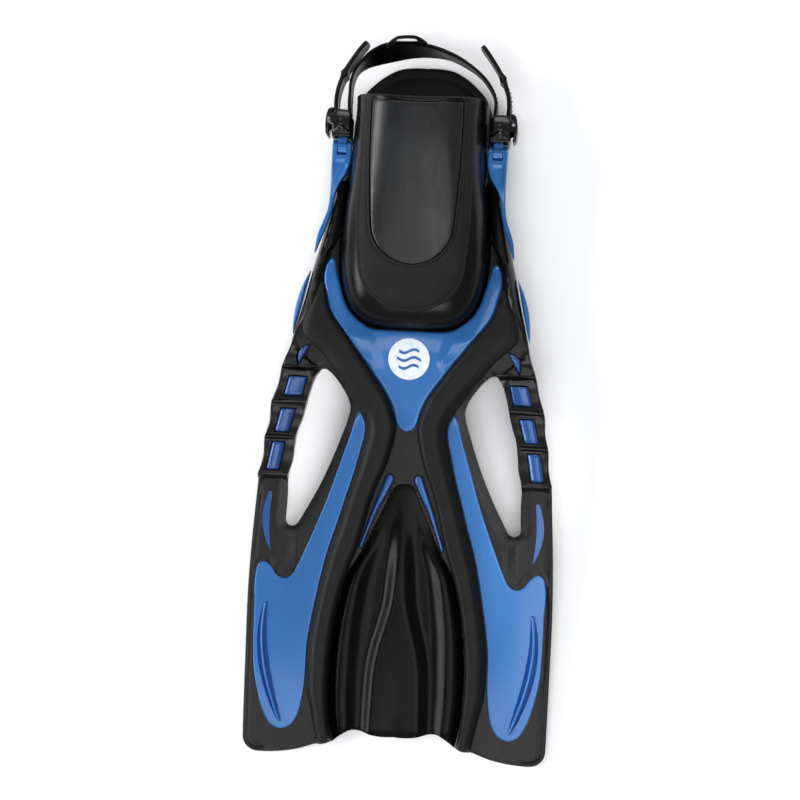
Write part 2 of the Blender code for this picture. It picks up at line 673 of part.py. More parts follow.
def make_buckle(mats, side, sign, pivot):
    """Fork-shaped buckle body: a tongue on the pivot pin, a front wall and two cheeks round the strap."""
    wide = (BUCKLE_INNER_X, BUCKLE_OUTER_X)
    wall = block(f"buckle_body_{side}", (wide[0], WALL_FRONT, -BUCKLE_HALF), (wide[1], WALL_BACK, BUCKLE_HALF),
                 mats["frame"], pivot)
    tongue = rod("tongue", (PIVOT_X, 0, 0), 6.0, TONGUE_HALF, None, pivot, "X")
    neck = block("neck", (PIVOT_X - TONGUE_HALF, 1, -5.2), (PIVOT_X + TONGUE_HALF, WALL_FRONT + 1, 5.2), None, pivot)
    boolean(wall, neck, "UNION")
    boolean(wall, tongue, "UNION")
    for z in (BUCKLE_HALF - CHEEK, -BUCKLE_HALF):
        outline = [(wide[0], WALL_BACK - 1), (wide[1], WALL_BACK - 1), (wide[1] + 0.4, LEVER_Y - 5),
                   (LEVER_X + 2, LEVER_Y - 2.5), (LEVER_X + 2.2, LEVER_Y + 2.5), (wide[1] + 0.5, CHEEK_BACK - 2),
                   (wide[1] - 2, CHEEK_BACK), (wide[0] + 2, CHEEK_BACK), (wide[0], CHEEK_BACK - 3)]
        cheek = plate("cheek", outline, level(z), level(z + CHEEK), None, pivot, grid=500, rows=(), arched=False)
        boolean(wall, cheek, "UNION")
    for name, centre, radius, half, axis in (
            ("pivot_bore", (PIVOT_X, 0, 0), PIVOT_RADIUS + GAP, 5, "X"),
            ("axle_bore", (ROLLER_X, ROLLER_Y, 0), AXLE_RADIUS + GAP, 16, "Z"),
            ("lever_bore", (LEVER_X, LEVER_Y, 0), LEVER_PIN_RADIUS + GAP, 16, "Z")):
        boolean(wall, rod(name, centre, radius, half, None, pivot, axis))
    if sign < 0:
        flip_x(wall)
    return wall


def flip_x(obj):
    """Mirror an object and its cutters across the centre plane."""
    for item in [obj] + [modifier.object for modifier in obj.modifiers]:
        for vertex in item.data.vertices:
            vertex.co.x = -vertex.co.x
        item.data.flip_normals()


def lever_outline():
    """The release lever seen along its pin: thumb end at the front, pawl tip at the back."""
    back = curve((73.8, 10), (74.6, 8.4), (76, 9.4), (77, 14), (77.2, 20), (76.8, 25), (75.6, 29.5), step=3)
    return back + [(75.6, 29.5), (71.3, 31.2), (71.5, 28.6), (73, 26), (72.2, 23), (71.9, 21), (72.2, 18), (74, 14)]


def make_lever(mats, side, sign, pivot):
    lever_pivot = empty(f"lever_pivot_{side}", (sign * LEVER_X, LEVER_Y, 0), pivot)
    outline = [(x - LEVER_X, y - LEVER_Y) for x, y in lever_outline()]
    lever = plate(f"release_lever_{side}", outline, level(-LEVER_HALF), level(LEVER_HALF), mats["frame"],
                  lever_pivot, grid=50, rows=(), arched=False)
    boolean(lever, rod("lever_pin_bore", (0, 0, 0), LEVER_PIN_RADIUS + GAP, 12, None, lever_pivot, "Z"))
    boolean(lever, rod("spring_room", (0, 0, 0), KNUCKLE_RADIUS + 0.5, SPRING_HALF + GAP, None, lever_pivot, "Z"))
    boolean(lever, block("spring_slot", (-5, -2.6, -SPRING_HALF - GAP), (0, 2.6, SPRING_HALF + GAP), None, lever_pivot))
    if sign < 0:
        flip_x(lever)
    return lever


def make_spring(mats, side, sign, pivot):
    """Torsion spring: close turns of wire round the lever pin."""
    wire, turns, per_turn = 0.35, 6, 10
    spring = bpy.data.curves.new(f"lever_spring_{side}", "CURVE")
    spring.dimensions = "3D"
    spring.bevel_depth = wire * MM
    spring.bevel_resolution = 0
    spring.use_fill_caps = True
    count = turns * per_turn + 1
    line = spring.splines.new("POLY")
    line.points.add(count - 1)
    rise = 2 * (SPRING_HALF - wire) / (count - 1)
    radius = LEVER_PIN_RADIUS + GAP + wire
    for k, point in enumerate(line.points):
        a = 2 * math.pi * k / per_turn
        place = Vector((sign * (LEVER_X + radius * math.cos(a)), LEVER_Y + radius * math.sin(a),
                        -SPRING_HALF + wire + rise * k)) * MM
        point.co = (*place, 1.0)
    spring.materials.append(mats["steel"])
    made = bpy.data.objects.new(f"lever_spring_{side}", spring)
    bpy.context.scene.collection.objects.link(made)
    made.parent = pivot
    return made


def strap_half_path():
    """Centre line of the right half of the strap, from the tail's free end to the middle of the heel."""
    reach = ROLLER_RADIUS + 0.4 + STRAP_THICKNESS / 2
    tail = curve((45, 88), (56, 74), (64, 61), (68.6, 46), (ROLLER_X + reach, 32), step=6)
    straight = curve((ROLLER_X + reach, 32), (ROLLER_X + reach, ROLLER_Y), step=7)
    wrap = arc((ROLLER_X, ROLLER_Y), reach, 0, -180, 8)
    loop = curve((ROLLER_X - reach, ROLLER_Y), (ROLLER_X - reach + 0.3, 27), (58.8, 40), (56.6, 54), (50, 65),
                 (39, 73), (22, 78.6), (0, HEEL_BAND_Y), step=6)
    return tail + straight + wrap + loop + [(0, HEEL_BAND_Y)]


def make_strap(mats, pivot):
    """One flat band: tail, turn round the roller, heel loop, turn and tail, swept along its centre line."""
    right = strap_half_path()
    path = np.array(right + [(-x, y) for x, y in reversed(right[:-1])])
    direction = np.gradient(path, axis=0)
    direction /= np.linalg.norm(direction, axis=1)[:, None]
    normal = np.stack([-direction[:, 1], direction[:, 0]], 1) * STRAP_THICKNESS / 2
    along = np.abs(np.arange(len(path)) - (len(path) - 1) / 2)
    heel = (1 - ramp(np.abs(path[:, 0]), 22, 48)) * (along < len(path) * 0.22)
    tail = ramp(path[:, 1], 36, 90) * (along > len(path) * 0.33)
    heights = STRAP_HALF + (HEEL_BAND_HALF - STRAP_HALF) * heel
    vertices, faces = [], []
    for place, offset, half, lean, rise in zip(path, normal, heights, heel * BAND_FLARE, tail * TAIL_RISE):
        for side, z in ((1, -half), (-1, -half), (-1, half), (1, half)):
            x, y = place + side * offset
            vertices.append((x, y + lean * z, z + rise))
    for i in range(len(path) - 1):
        for k in range(4):
            n = (k + 1) % 4
            faces.append((4 * i + k, 4 * i + 4 + k, 4 * i + 4 + n, 4 * i + n))
    faces.append((0, 1, 2, 3))
    tip = 4 * (len(path) - 1)
    faces.append((tip + 3, tip + 2, tip + 1, tip))
    return add_object("heel_strap", vertices, faces, mats["gloss"], pivot)


def make_pull_tab(mats, pivot):
    """Finger loop standing on the strap's top edge behind the heel, leaning outwards with the band."""
    low = HEEL_BAND_HALF + 2.5 * GAP
    outer = [(-TAB_HALF, low), (TAB_HALF, low)]
    middle = TAB_HALF - TAB_CORNER - TAB_TAPER
    outer += arc((middle, TAB_TOP - TAB_CORNER), TAB_CORNER, 0, 90, 4)
    outer += arc((-middle, TAB_TOP - TAB_CORNER), TAB_CORNER, 90, 180, 4)
    hole = [(8, 17.3)] + arc((5, 22.3), 3, 0, 90, 3) + arc((-5, 22.3), 3, 90, 180, 3) + [(-8, 17.3)]
    tab = plate("pull_tab", outer, level(-TAB_THICKNESS / 2), level(TAB_THICKNESS / 2), mats["gloss"], pivot,
                holes=[hole[::-1]], grid=60, rows=(), arched=False)
    tab.rotation_euler.x = math.pi / 2 - math.atan(BAND_FLARE)
    tab.location = Vector((TAB_X, HEEL_BAND_Y - 0.5, 0)) * MM


def make_strap_assembly(mats, root):
    pivot = empty("strap_pivot", (0, PIVOT_Y, PIVOT_Z), root, STRAP_TILT)
    for side, sign in SIDES:
        rod(f"pivot_pin_{side}", (sign * PIVOT_X, PIVOT_Y, PIVOT_Z), PIVOT_RADIUS, 7.8, mats["steel"], root, "X")
        make_buckle(mats, side, sign, pivot)
        tube(f"strap_roller_{side}", (sign * ROLLER_X, ROLLER_Y), ROLLER_RADIUS, AXLE_RADIUS + GAP,
             -STRAP_HALF, STRAP_HALF, mats["steel"], pivot)
        rod(f"roller_axle_{side}", (sign * ROLLER_X, ROLLER_Y, 0), AXLE_RADIUS, BUCKLE_HALF - 0.2, mats["steel"],
            pivot, "Z", 12)
        make_lever(mats, side, sign, pivot)
        rod(f"lever_pin_{side}", (sign * LEVER_X, LEVER_Y, 0), LEVER_PIN_RADIUS, BUCKLE_HALF - 0.2,
            mats["steel"], pivot, "Z", 12)
        make_spring(mats, side, sign, pivot)
    make_strap(mats, pivot)
    make_pull_tab(mats, pivot)


def main():
    clear_scene()
    mats = make_materials()
    root = empty("fin", (0, -CENTRE_Y, 0))
    make_frame(mats, root)
    make_panels(mats, root)
    make_inserts(mats, root)
    make_pocket(mats, root)
    make_instep(mats, root)
    make_sole(mats, root)
    make_arms(mats, root)
    make_strap_assembly(mats, root)


main()
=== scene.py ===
"""Looks of the adjustable open-heel swim fin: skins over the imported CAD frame, materials, light, camera.

Plan outlines and heights are in millimetres on the same flat sheet as the CAD model, with y = 0 at the waist.
arch() says how far a point of the sheet is lifted, and at_rest() or on_strap() gives its place in metres.
Right-hand pieces are drawn, and the left-hand ones are their mirror images.
"""

import math

import bpy
import numpy as np
from mathutils import Matrix, Vector
from mathutils.geometry import delaunay_2d_cdt


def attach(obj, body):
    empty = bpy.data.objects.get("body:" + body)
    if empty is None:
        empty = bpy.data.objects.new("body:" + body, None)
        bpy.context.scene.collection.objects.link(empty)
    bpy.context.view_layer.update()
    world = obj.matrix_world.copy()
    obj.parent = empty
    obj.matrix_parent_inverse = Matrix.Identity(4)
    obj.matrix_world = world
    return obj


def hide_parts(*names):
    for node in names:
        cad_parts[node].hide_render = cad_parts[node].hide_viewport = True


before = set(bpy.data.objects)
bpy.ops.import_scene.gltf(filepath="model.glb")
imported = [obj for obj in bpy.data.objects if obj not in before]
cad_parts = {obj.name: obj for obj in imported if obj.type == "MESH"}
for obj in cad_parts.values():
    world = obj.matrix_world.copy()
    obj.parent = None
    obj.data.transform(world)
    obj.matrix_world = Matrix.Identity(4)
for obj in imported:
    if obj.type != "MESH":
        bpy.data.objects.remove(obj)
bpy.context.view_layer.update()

MM = 0.001
GAP = 0.3  # clearance between neighbouring pieces
STEP = 3.0  # spacing of points along an outline

# Frame and blade
BLADE_TIP_Y = -267.5
HEEL_Y = 291.5
CENTRE_Y = 22.06  # middle of the whole fin along Y, which is the origin
HEEL_REST_Y = 285.0
SOLE_SLOPE = 0.11
BLADE_SLOPE = 0.08
ARCH_SOFTNESS = 5.0
SOLE_BOTTOM = 1.5
SOLE_TOP = 5.0
BLADE_TOP = 4.5
STRUT_RISE = 6.5
STRUT_RIDGES = (43.0, 15.0, -13.3, -44.0)
SCALLOP = 4.2  # depth of the strut's steps between its ridges
PANEL_THICKNESS = 2.4
MEMBRANE_THICKNESS = 2.4
PANEL_RIB = ((107.6, -147.5), (109.6, -172), (107, -196), (102, -216), (93, -241))

# Crest badge
BADGE_Y = 53.5
BADGE_RADIUS = 16.6

# Foot pocket
POCKET_TOE_Y = 77.0
POCKET_RIM_Y = 262.0
POCKET_WALL = 3.0
POCKET_ROUNDNESS = 2.9  # exponent of the superellipse cross-section
POCKET_WIDTHS = ((77, 28), (78.5, 34), (81, 38.6), (85, 43.6), (90, 48.6), (97, 52.6), (106, 56),
                 (120, 59), (140, 60), (165, 58.6), (195, 55.6), (228, 53.6), (262, 53))
POCKET_HEIGHTS = ((77, 12), (81, 21), (85, 26), (90, 30.5), (97, 35), (106, 39), (120, 44), (140, 50),
                  (165, 56), (195, 62.5), (228, 68.5), (262, 73))

# Side arms, buckles and strap
PIVOT_Y, PIVOT_Z, PIVOT_X = 221.0, 30.0, 62.5
STRAP_TILT = math.radians(-6)
EAR_RADIUS = 6.3
SLOT_HALF = 3.9
TONGUE_HALF = 3.7
BUCKLE_INNER_X, BUCKLE_OUTER_X = 56.0, 71.0
BUCKLE_HALF = 13.0
CHEEK = 2.4
WALL_FRONT, WALL_BACK = 7.0, 10.4
CHEEK_BACK = 29.0
ROLLER_X, ROLLER_Y, ROLLER_RADIUS = 63.7, 18.6, 4.0
STRAP_THICKNESS = 2.5
STRAP_HALF = 10.0
HEEL_BAND_HALF = 14.0
BAND_Y = 83.0
TAIL_RISE = 12.0
TAB_X, TAB_HALF, TAB_TOP, TAB_THICKNESS = -14.5, 17.0, 28.5, 3.0
LEVER_X, LEVER_Y, LEVER_HALF = 74.2, 21.0, 9.0

SIDES = (("right", 1), ("left", -1))


# ---------------------------------------------------------------- materials

def noise(tree, place, scale, detail, stretch=(1, 1, 1), rough=0.5):
    """A noise field; scale is features per metre along each stretched axis."""
    spread = tree.nodes.new("ShaderNodeMapping")
    spread.inputs["Scale"].default_value = stretch
    tree.links.new(place, spread.inputs["Vector"])
    field = tree.nodes.new("ShaderNodeTexNoise")
    field.inputs["Scale"].default_value = scale
    field.inputs["Detail"].default_value = detail
    field.inputs["Roughness"].default_value = rough
    tree.links.new(spread.outputs["Vector"], field.inputs["Vector"])
    return field.outputs["Fac"]


def grain(tree, place, scale):
    cells = tree.nodes.new("ShaderNodeTexVoronoi")
    cells.inputs["Scale"].default_value = scale
    tree.links.new(place, cells.inputs["Vector"])
    return cells.outputs["Distance"]


def between(tree, field, low, high):
    """The middle of a noise field's range mapped to low..high."""
    mapped = tree.nodes.new("ShaderNodeMapRange")
    for socket, value in (("From Min", 0.3), ("From Max", 0.7), ("To Min", low), ("To Max", high)):
        mapped.inputs[socket].default_value = value
    tree.links.new(field, mapped.inputs["Value"])
    return mapped.outputs["Result"]


def tint(tree, field, stops):
    """The field as a colour ramp."""
    ramp_node = tree.nodes.new("ShaderNodeValToRGB")
    elements = ramp_node.color_ramp.elements
    while len(elements) < len(stops):
        elements.new(0.5)
    for element, (position, colour) in zip(elements, stops):
        element.position = position
        element.color = (*colour, 1)
    tree.links.new(field, ramp_node.inputs["Fac"])
    return ramp_node.outputs["Color"]


def shades(base, dark, pale, stops):
    """Colour stops from a darker to a paler shade of the base."""
    return tuple((stop, tuple(c * k for c in base)) for stop, k in zip(stops, (dark, 1, pale)))


def surface(name, colour_noise, stops, rough_noise=None, rough_range=None, relief=(), **scalars):
    """A material: noise fields for its colour and roughness, and a chain of bumps.

    Each bump of the relief is (kind of field, its settings, strength, height in metres).
    """
    made = bpy.data.materials.new(name)
    made.use_nodes = True
    tree = made.node_tree
    shader = tree.nodes["Principled BSDF"]
    place = tree.nodes.new("ShaderNodeTexCoord").outputs["Object"]
    tree.links.new(tint(tree, noise(tree, place, *colour_noise), stops), shader.inputs["Base Color"])
    if rough_noise:
        rough_field = noise(tree, place, *rough_noise)
        tree.links.new(between(tree, rough_field, *rough_range), shader.inputs["Roughness"])
    for socket, value in scalars.items():
        shader.inputs[socket.replace("_", " ")].default_value = value
    last = None
    for kind, settings, strength, height in relief:
        bump = tree.nodes.new("ShaderNodeBump")
        bump.inputs["Strength"].default_value = strength
        bump.inputs["Distance"].default_value = height
        tree.links.new(kind(tree, place, *settings), bump.inputs["Height"])
        if last is not None:
            tree.links.new(last, bump.inputs["Normal"])
        last = bump.outputs["Normal"]
    if last is not None:
        tree.links.new(last, shader.inputs["Normal"])
    return made


def blue_plastic(name, deep, middle, light, coat):
    """Pearly injection-moulded plastic: flow swirls, fine flake and a clear skin."""
    relief = ((noise, (5200, 1), 0.10, 0.00006), (noise, (28, 2), 0.25, 0.0006))
    return surface(name, (9, 3, (1, 0.35, 1)), ((0.30, deep), (0.52, middle), (0.75, light)),
                   (60, 2, (1, 0.12, 1)), (0.25, 0.36), relief, Metallic=0.18, Coat_Weight=coat,
                   Coat_Roughness=0.09, Specular_IOR_Level=0.45 * coat)


def black_plastic(name, base, rough, shine, wave=0.0004):
    """Satin moulded plastic with a fine spark-eroded grain, faint flow marks and rubbed patches."""
    relief = ((grain, (1500,), 0.16, 0.00008), (noise, (24, 2), 0.3, wave))
    return surface(name, (26, 4, (1, 0.5, 1), 0.6), shades(base, 0.75, 1.5, (0.3, 0.5, 0.75)),
                   (90, 5, (1, 0.18, 1), 0.65), (rough * 0.82, rough * 1.22), relief,
                   Specular_IOR_Level=shine)


def gloss_rubber(name, base, rough, shine, wave=0.0009):
    """Polished thermoplastic rubber: soft waviness, scuffs and a faint bloom."""
    relief = ((noise, (900, 2), 0.08, 0.00008), (noise, (16, 2), 0.35, wave))
    return surface(name, (14, 5, (1, 0.6, 1), 0.6), shades(base, 0.7, 2.0, (0.35, 0.55, 0.8)),
                   (70, 6, (1, 0.25, 1), 0.7), (rough * 0.75, rough * 1.35), relief,
                   Specular_IOR_Level=shine)


def matte_rubber(name, base, rough, shine):
    """Soft-touch rubber with a pebbled skin and dusty high spots."""
    relief = ((grain, (1150,), 0.35, 0.00012), (noise, (300, 3), 0.3, 0.0001))
    return surface(name, (40, 5, (1, 1, 1), 0.7), shades(base, 0.8, 1.35, (0.3, 0.55, 0.75)),
                   (220, 3), (rough * 0.9, rough * 1.1), relief, Specular_IOR_Level=shine)


def brushed_steel(name):
    lines = (700, 3, (1, 0.05, 1))
    return surface(name, lines, ((0.35, (0.36, 0.37, 0.39)), (0.6, (0.52, 0.53, 0.55))), lines,
                   (0.22, 0.4), ((noise, lines, 0.15, 0.00003),), Metallic=1.0)


def print_ink(name):
    """Pad-printed ink: slightly uneven cover with a soft gloss."""
    cover = (260, 4)
    return surface(name, cover, ((0.3, (0.50, 0.57, 0.68)), (0.6, (0.66, 0.70, 0.76))), cover,
                   (0.35, 0.5), ((noise, cover, 0.2, 0.00003),))


def floor_paper(name):
    return surface(name, (3, 2), ((0.3, (0.91, 0.91, 0.92)), (0.7, (0.94, 0.94, 0.94))), Roughness=0.85)


# Each look: the record's material slot, and the material
LOOKS = {
    "blue": ("blue_plastic", blue_plastic("pearl_blue", (0.007, 0.076, 0.24), (0.012, 0.108, 0.33),
                                          (0.028, 0.158, 0.43), 0.55)),
    "trim": ("blue_plastic", blue_plastic("trim_blue", (0.003, 0.036, 0.15), (0.005, 0.056, 0.22),
                                          (0.012, 0.092, 0.31), 0.60)),
    # Painted shade: this dark blue, used on the sheet along each blade rib's foot, stands in for the shade on
    # the rib's steep flanks.
    "painted_rib_shade": ("blue_plastic", blue_plastic("painted_rib_shade_blue", (0.002, 0.024, 0.14), (0.003, 0.034, 0.18),
                                          (0.006, 0.052, 0.24), 0.10)),
    "frame": ("frame_plastic", black_plastic("satin_black", (0.0040, 0.0040, 0.0043), 0.27, 0.24)),
    "buckle": ("buckle_plastic", black_plastic("buckle_black", (0.0025, 0.0025, 0.0028), 0.2, 0.34, 0.0002)),
    "gloss": ("gloss_rubber", gloss_rubber("gloss_black_rubber", (0.0018, 0.0018, 0.0020), 0.25, 0.16)),
    "web": ("gloss_rubber", gloss_rubber("membrane_rubber", (0.0010, 0.0010, 0.0010), 0.25, 0.10, 0.0005)),
    "strap": ("strap_rubber", gloss_rubber("strap_rubber", (0.0022, 0.0022, 0.0022), 0.34, 0.13)),
    "panel": ("gloss_rubber", gloss_rubber("instep_rubber", (0.0060, 0.0065, 0.0070), 0.31, 0.34)),
    "matte": ("matte_rubber", matte_rubber("matte_black_rubber", (0.0062, 0.0062, 0.0065), 0.46, 0.15)),
    "band": ("matte_rubber", matte_rubber("bezel_rubber", (0.0120, 0.0120, 0.0120), 0.6, 0.10)),
    "bed": ("matte_rubber", matte_rubber("footbed_rubber", (0.0050, 0.0050, 0.0050), 0.55, 0.15)),
    "steel": ("steel", brushed_steel("brushed_steel")),
    "ink": ("badge_print", print_ink("pale_ink")),
}


# ---------------------------------------------------------------- geometry helpers

def ramp(value, low, high):
    """0 below low, 1 above high, smooth between."""
    t = np.clip((value - low) / (high - low), 0.0, 1.0)
    return t * t * (3.0 - 2.0 * t)


def hump(value, middle, width):
    """A smooth bump of height 1 round the middle."""
    return np.exp(-((value - middle) / width) ** 2)


def arch(y):
    """Height of the flat sheet above the ground, where the sole and the blade meet at a soft ridge."""
    sole = (HEEL_REST_Y - y) * SOLE_SLOPE
    blade = (y - BLADE_TIP_Y) * BLADE_SLOPE
    low = np.minimum(sole, blade)
    return low - ARCH_SOFTNESS * np.log1p(np.exp(-np.abs(sole - blade) / ARCH_SOFTNESS))


def cubic(a, b, slope_a, slope_b, length, t):
    """The cubic from a to b with those slopes over that length, at t from 0 to 1."""
    return (a * (1 + 2 * t) * (1 - t) ** 2 + slope_a * length * t * (1 - t) ** 2
            + b * t * t * (3 - 2 * t) + slope_b * length * t * t * (t - 1))


def curve(*knots, step=STEP):
    """Points on a smooth curve through the knots, without the last knot."""
    p = np.array(knots, float)
    if len(p) == 2:
        count = max(1, round(np.linalg.norm(p[1] - p[0]) / step))
        return [tuple(p[0] + (p[1] - p[0]) * i / count) for i in range(count)]
    chord = np.linalg.norm(np.diff(p, axis=0), axis=1)
    slope = np.diff(p, axis=0) / chord[:, None]
    tangent = np.empty_like(p)
    weight = chord[1:, None] / (chord[:-1] + chord[1:])[:, None]
    tangent[1:-1] = slope[:-1] * weight + slope[1:] * (1 - weight)
    tangent[0] = 2 * slope[0] - tangent[1]
    tangent[-1] = 2 * slope[-1] - tangent[-2]
    points = []
    for a, b, ta, tb, length in zip(p[:-1], p[1:], tangent[:-1], tangent[1:], chord):
        count = max(1, round(length / step))
        points += [tuple(cubic(a, b, ta, tb, length, i / count)) for i in range(count)]
    return points


def chain(*parts, step=STEP):
    """Smooth curves joined at corners: each goes on from the last knot of the one before."""
    points, corner = [], ()
    for knots, spacing in zip(parts, np.broadcast_to(step, len(parts))):
        points += curve(*corner, *knots, step=spacing)
        corner = knots[-1:]
    return points


def arc(centre, radius, start, end, count):
    """Points on an arc, angles in degrees, without the last one."""
    angles = np.radians(np.linspace(start, end, count + 1)[:-1])
    return [(centre[0] + radius * math.cos(a), centre[1] + radius * math.sin(a)) for a in angles]


def box_loop(x0, x1, y0, y1):
    return [(x0, y0), (x1, y0), (x1, y1), (x0, y1)]


def both_halves(right_half):
    left = [(-x, y) for x, y in reversed(right_half) if abs(x) > 1e-6]
    return right_half + left


def mirror_outline(outline):
    return [(-x, y) for x, y in reversed(outline)]


def line_distance(points, lines, closed=True):
    """Distance of each point from the nearest of the lines."""
    best = np.full(len(points), np.inf)
    for line in lines:
        a = np.array(line, float)
        b = np.roll(a, -1, axis=0)
        if not closed:
            a, b = a[:-1], b[:-1]
        along = b - a
        square = np.maximum((along ** 2).sum(1), 1e-12)
        for start in range(0, len(points), 1500):
            part = points[start:start + 1500]
            t = ((part[:, None] - a) * along).sum(2) / square
            foot = a + np.clip(t, 0, 1)[..., None] * along
            near = np.sqrt(((part[:, None] - foot) ** 2).sum(2)).min(1)
            best[start:start + 1500] = np.minimum(best[start:start + 1500], near)
    return best


def off_line(x, y, line):
    """Distance in plan from an open line on the right-hand side, or from its mirror image."""
    return line_distance(np.stack([np.abs(x), y], 1), [line], closed=False)


def inside(points, loop):
    x, y = points[:, 0], points[:, 1]
    result = np.zeros(len(points), bool)
    for (x1, y1), (x2, y2) in zip(loop, loop[1:] + loop[:1]):
        if y1 != y2:
            result ^= ((y1 > y) != (y2 > y)) & (x < (x2 - x1) * (y - y1) / (y2 - y1) + x1)
    return result


def grow(outline, amount):
    """The outline moved outwards by amount, corner by corner."""
    p = np.array(outline, float)
    along = np.roll(p, -1, axis=0) - p
    along /= np.maximum(np.linalg.norm(along, axis=1), 1e-9)[:, None]
    out = np.stack([along[:, 1], -along[:, 0]], 1)
    before = np.roll(out, 1, axis=0)
    corner = (out + before) / np.maximum(1 + (out * before).sum(1), 0.3)[:, None]
    return [tuple(q) for q in p + corner * amount]


def filling_points(outline, grid, rows, holes, guides, dense):
    """Points inside the outline: rows parallel to its edges, then an even grid."""
    loops = [outline, *holes]
    found = []
    for loop in loops:
        p = np.array(loop, float)
        direction = np.roll(p, -1, axis=0) - np.roll(p, 1, axis=0)
        normal = np.stack([-direction[:, 1], direction[:, 0]], 1)
        normal /= np.maximum(np.linalg.norm(normal, axis=1), 1e-9)[:, None]
        for row in rows:
            moved = p + normal * row
            found.append(moved[line_distance(moved, loops) > row * 0.93])

    def even_points(low, high, step, shift):
        """Grid points clear of the rows, with every other line shifted sideways."""
        xs, ys = np.meshgrid(np.arange(low[0] + shift, high[0], step), np.arange(low[1], high[1], step))
        xs[1::2] += shift
        grid_points = np.stack([xs.ravel(), ys.ravel()], 1)
        grid_points = grid_points[inside(grid_points, outline)]
        return grid_points[line_distance(grid_points, loops) > rows[-1] + step * 0.45]

    even = even_points(np.min(outline, axis=0), np.max(outline, axis=0), grid, grid / 2)
    for low, high, fine in dense:
        here = ((even > low) & (even < high)).all(axis=1)
        even = np.vstack([even[~here], even_points(low, high, fine, 0)])
    found.append(even)
    kept = np.vstack(found)
    kept = kept[inside(kept, outline)]
    for hole in holes:
        kept = kept[~inside(kept, hole)]
    if guides:
        kept = kept[line_distance(kept, guides) > 0.5]
    return kept


def at_rest(points):
    """Places in metres of points on a piece that is drawn where it lies."""
    return (points - np.array([0, CENTRE_Y, 0])) * MM


def on_strap(points):
    """Places in metres of points drawn from the buckles' pivot, with y along the level strap."""
    x, y, z = points.T
    turned = np.stack([x, y * math.cos(STRAP_TILT) - z * math.sin(STRAP_TILT),
                       y * math.sin(STRAP_TILT) + z * math.cos(STRAP_TILT)], 1)
    return (turned + np.array([0, PIVOT_Y - CENTRE_Y, PIVOT_Z])) * MM


def add_piece(name, points, faces, look, body="fin", place=at_rest, stands_for=None, sharp=38):
    """A smooth-shaded piece that rides on a body and stands for CAD nodes."""
    mesh = bpy.data.meshes.new(name)
    mesh.from_pydata(place(np.asarray(points, float)).tolist(), [], [tuple(face) for face in faces])
    mesh.validate()
    slot, material = LOOKS[look]
    mesh.materials.append(material)
    mesh.shade_smooth()
    mesh.set_sharp_from_angle(angle=math.radians(sharp))
    made = bpy.data.objects.new(name, mesh)
    bpy.context.scene.collection.objects.link(made)
    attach(made, body)
    if stands_for:
        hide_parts(*stands_for)


def plate_mesh(outline, bottom, top, grid, rows, holes=(), guides=(), dense=(), arched=True):
    """Points and faces of a closed solid between two height functions over a plan outline."""
    points, edges = [], []
    for loop in (outline, *holes, *guides):
        start = len(points)
        points += [tuple(q) for q in loop]
        edges += [(start + i, start + (i + 1) % len(loop)) for i in range(len(loop))]
    points += [tuple(q) for q in filling_points(outline, grid, rows, holes, guides, dense)]
    flat, _, triangles, *_ = delaunay_2d_cdt([Vector(q) for q in points], edges, [], 1, 1e-4)
    plan = np.array([tuple(v) for v in flat])
    tri = np.array([t for t in triangles if len(t) == 3])
    middles = plan[tri].mean(axis=1)
    kept = inside(middles, outline)
    for hole in holes:
        kept &= ~inside(middles, hole)
    tri = tri[kept]
    a, b, c = plan[tri[:, 0]], plan[tri[:, 1]], plan[tri[:, 2]]
    area = (b[:, 0] - a[:, 0]) * (c[:, 1] - a[:, 1]) - (c[:, 0] - a[:, 0]) * (b[:, 1] - a[:, 1])
    tri[area < 0] = tri[area < 0][:, ::-1]
    away = line_distance(plan, (outline, *holes))
    x, y = plan[:, 0], plan[:, 1]
    raised = arch(y) if arched else 0.0
    low = np.stack([x, y, bottom(x, y, away) + raised], 1)
    high = np.stack([x, y, top(x, y, away) + raised], 1)
    count = len(plan)
    ends = np.vstack([tri[:, [0, 1]], tri[:, [1, 2]], tri[:, [2, 0]]])
    key = ends[:, 0] * count + ends[:, 1]
    rim = ends[~np.isin(key, ends[:, 1] * count + ends[:, 0])]
    faces = (tri + count).tolist() + tri[:, ::-1].tolist()
    faces += np.stack([rim[:, 0], rim[:, 1], rim[:, 1] + count, rim[:, 0] + count], 1).tolist()
    return np.vstack([low, high]), faces


def net(rows, columns, start=0, closed=False):
    """Quads over rows of points, joined from each row's end to its beginning if closed."""
    faces = []
    for row in range(rows - 1):
        a = start + row * columns
        b = a + columns
        for k in range(columns if closed else columns - 1):
            n = (k + 1) % columns
            faces.append((a + k, a + n, b + n, b + k))
    return faces


def level(height):
    return lambda x, y, d: np.full_like(x, height)


def quarter_round(t):
    """Height of a quarter circle that rises steeply from 0 at t = 0 to 1 at t = 1."""
    return np.sqrt(1 - (1 - np.clip(t, 0, 1)) ** 2)


def rounded(d, radius, drop=None):
    """How far a surface has fallen at a distance d from its edge, for an edge round of that radius."""
    return (radius if drop is None else drop) * (1 - quarter_round(d / radius))


def plate(name, node, outline, bottom, top, look, sharp=38, **options):
    points, faces = plate_mesh(outline, bottom, top, **options)
    add_piece(name, points, faces, look, stands_for=[node], sharp=sharp)


def pair(name, outline, bottom, top, look, sharp=38, **options):
    """A right-hand plate and its mirror image, each standing for its own CAD node."""
    points, faces = plate_mesh(outline, bottom, top, **options)
    mirrored_pair(name + "_skin_SIDE", name + "_SIDE", points, faces, look, sharp=sharp)


def mirrored_pair(piece, node, points, faces, look, body="fin", **extras):
    """A right-hand piece and its mirror image. SIDE in a name stands for right or left."""
    points = np.asarray(points, float)
    for side, sign in SIDES:
        ordered = faces if sign > 0 else [tuple(face)[::-1] for face in faces]
        stands_for = [node.replace("SIDE", side)] if node else None
        add_piece(piece.replace("SIDE", side), points * (sign, 1, 1), ordered, look,
                  body=body.replace("SIDE", side), stands_for=stands_for, **extras)


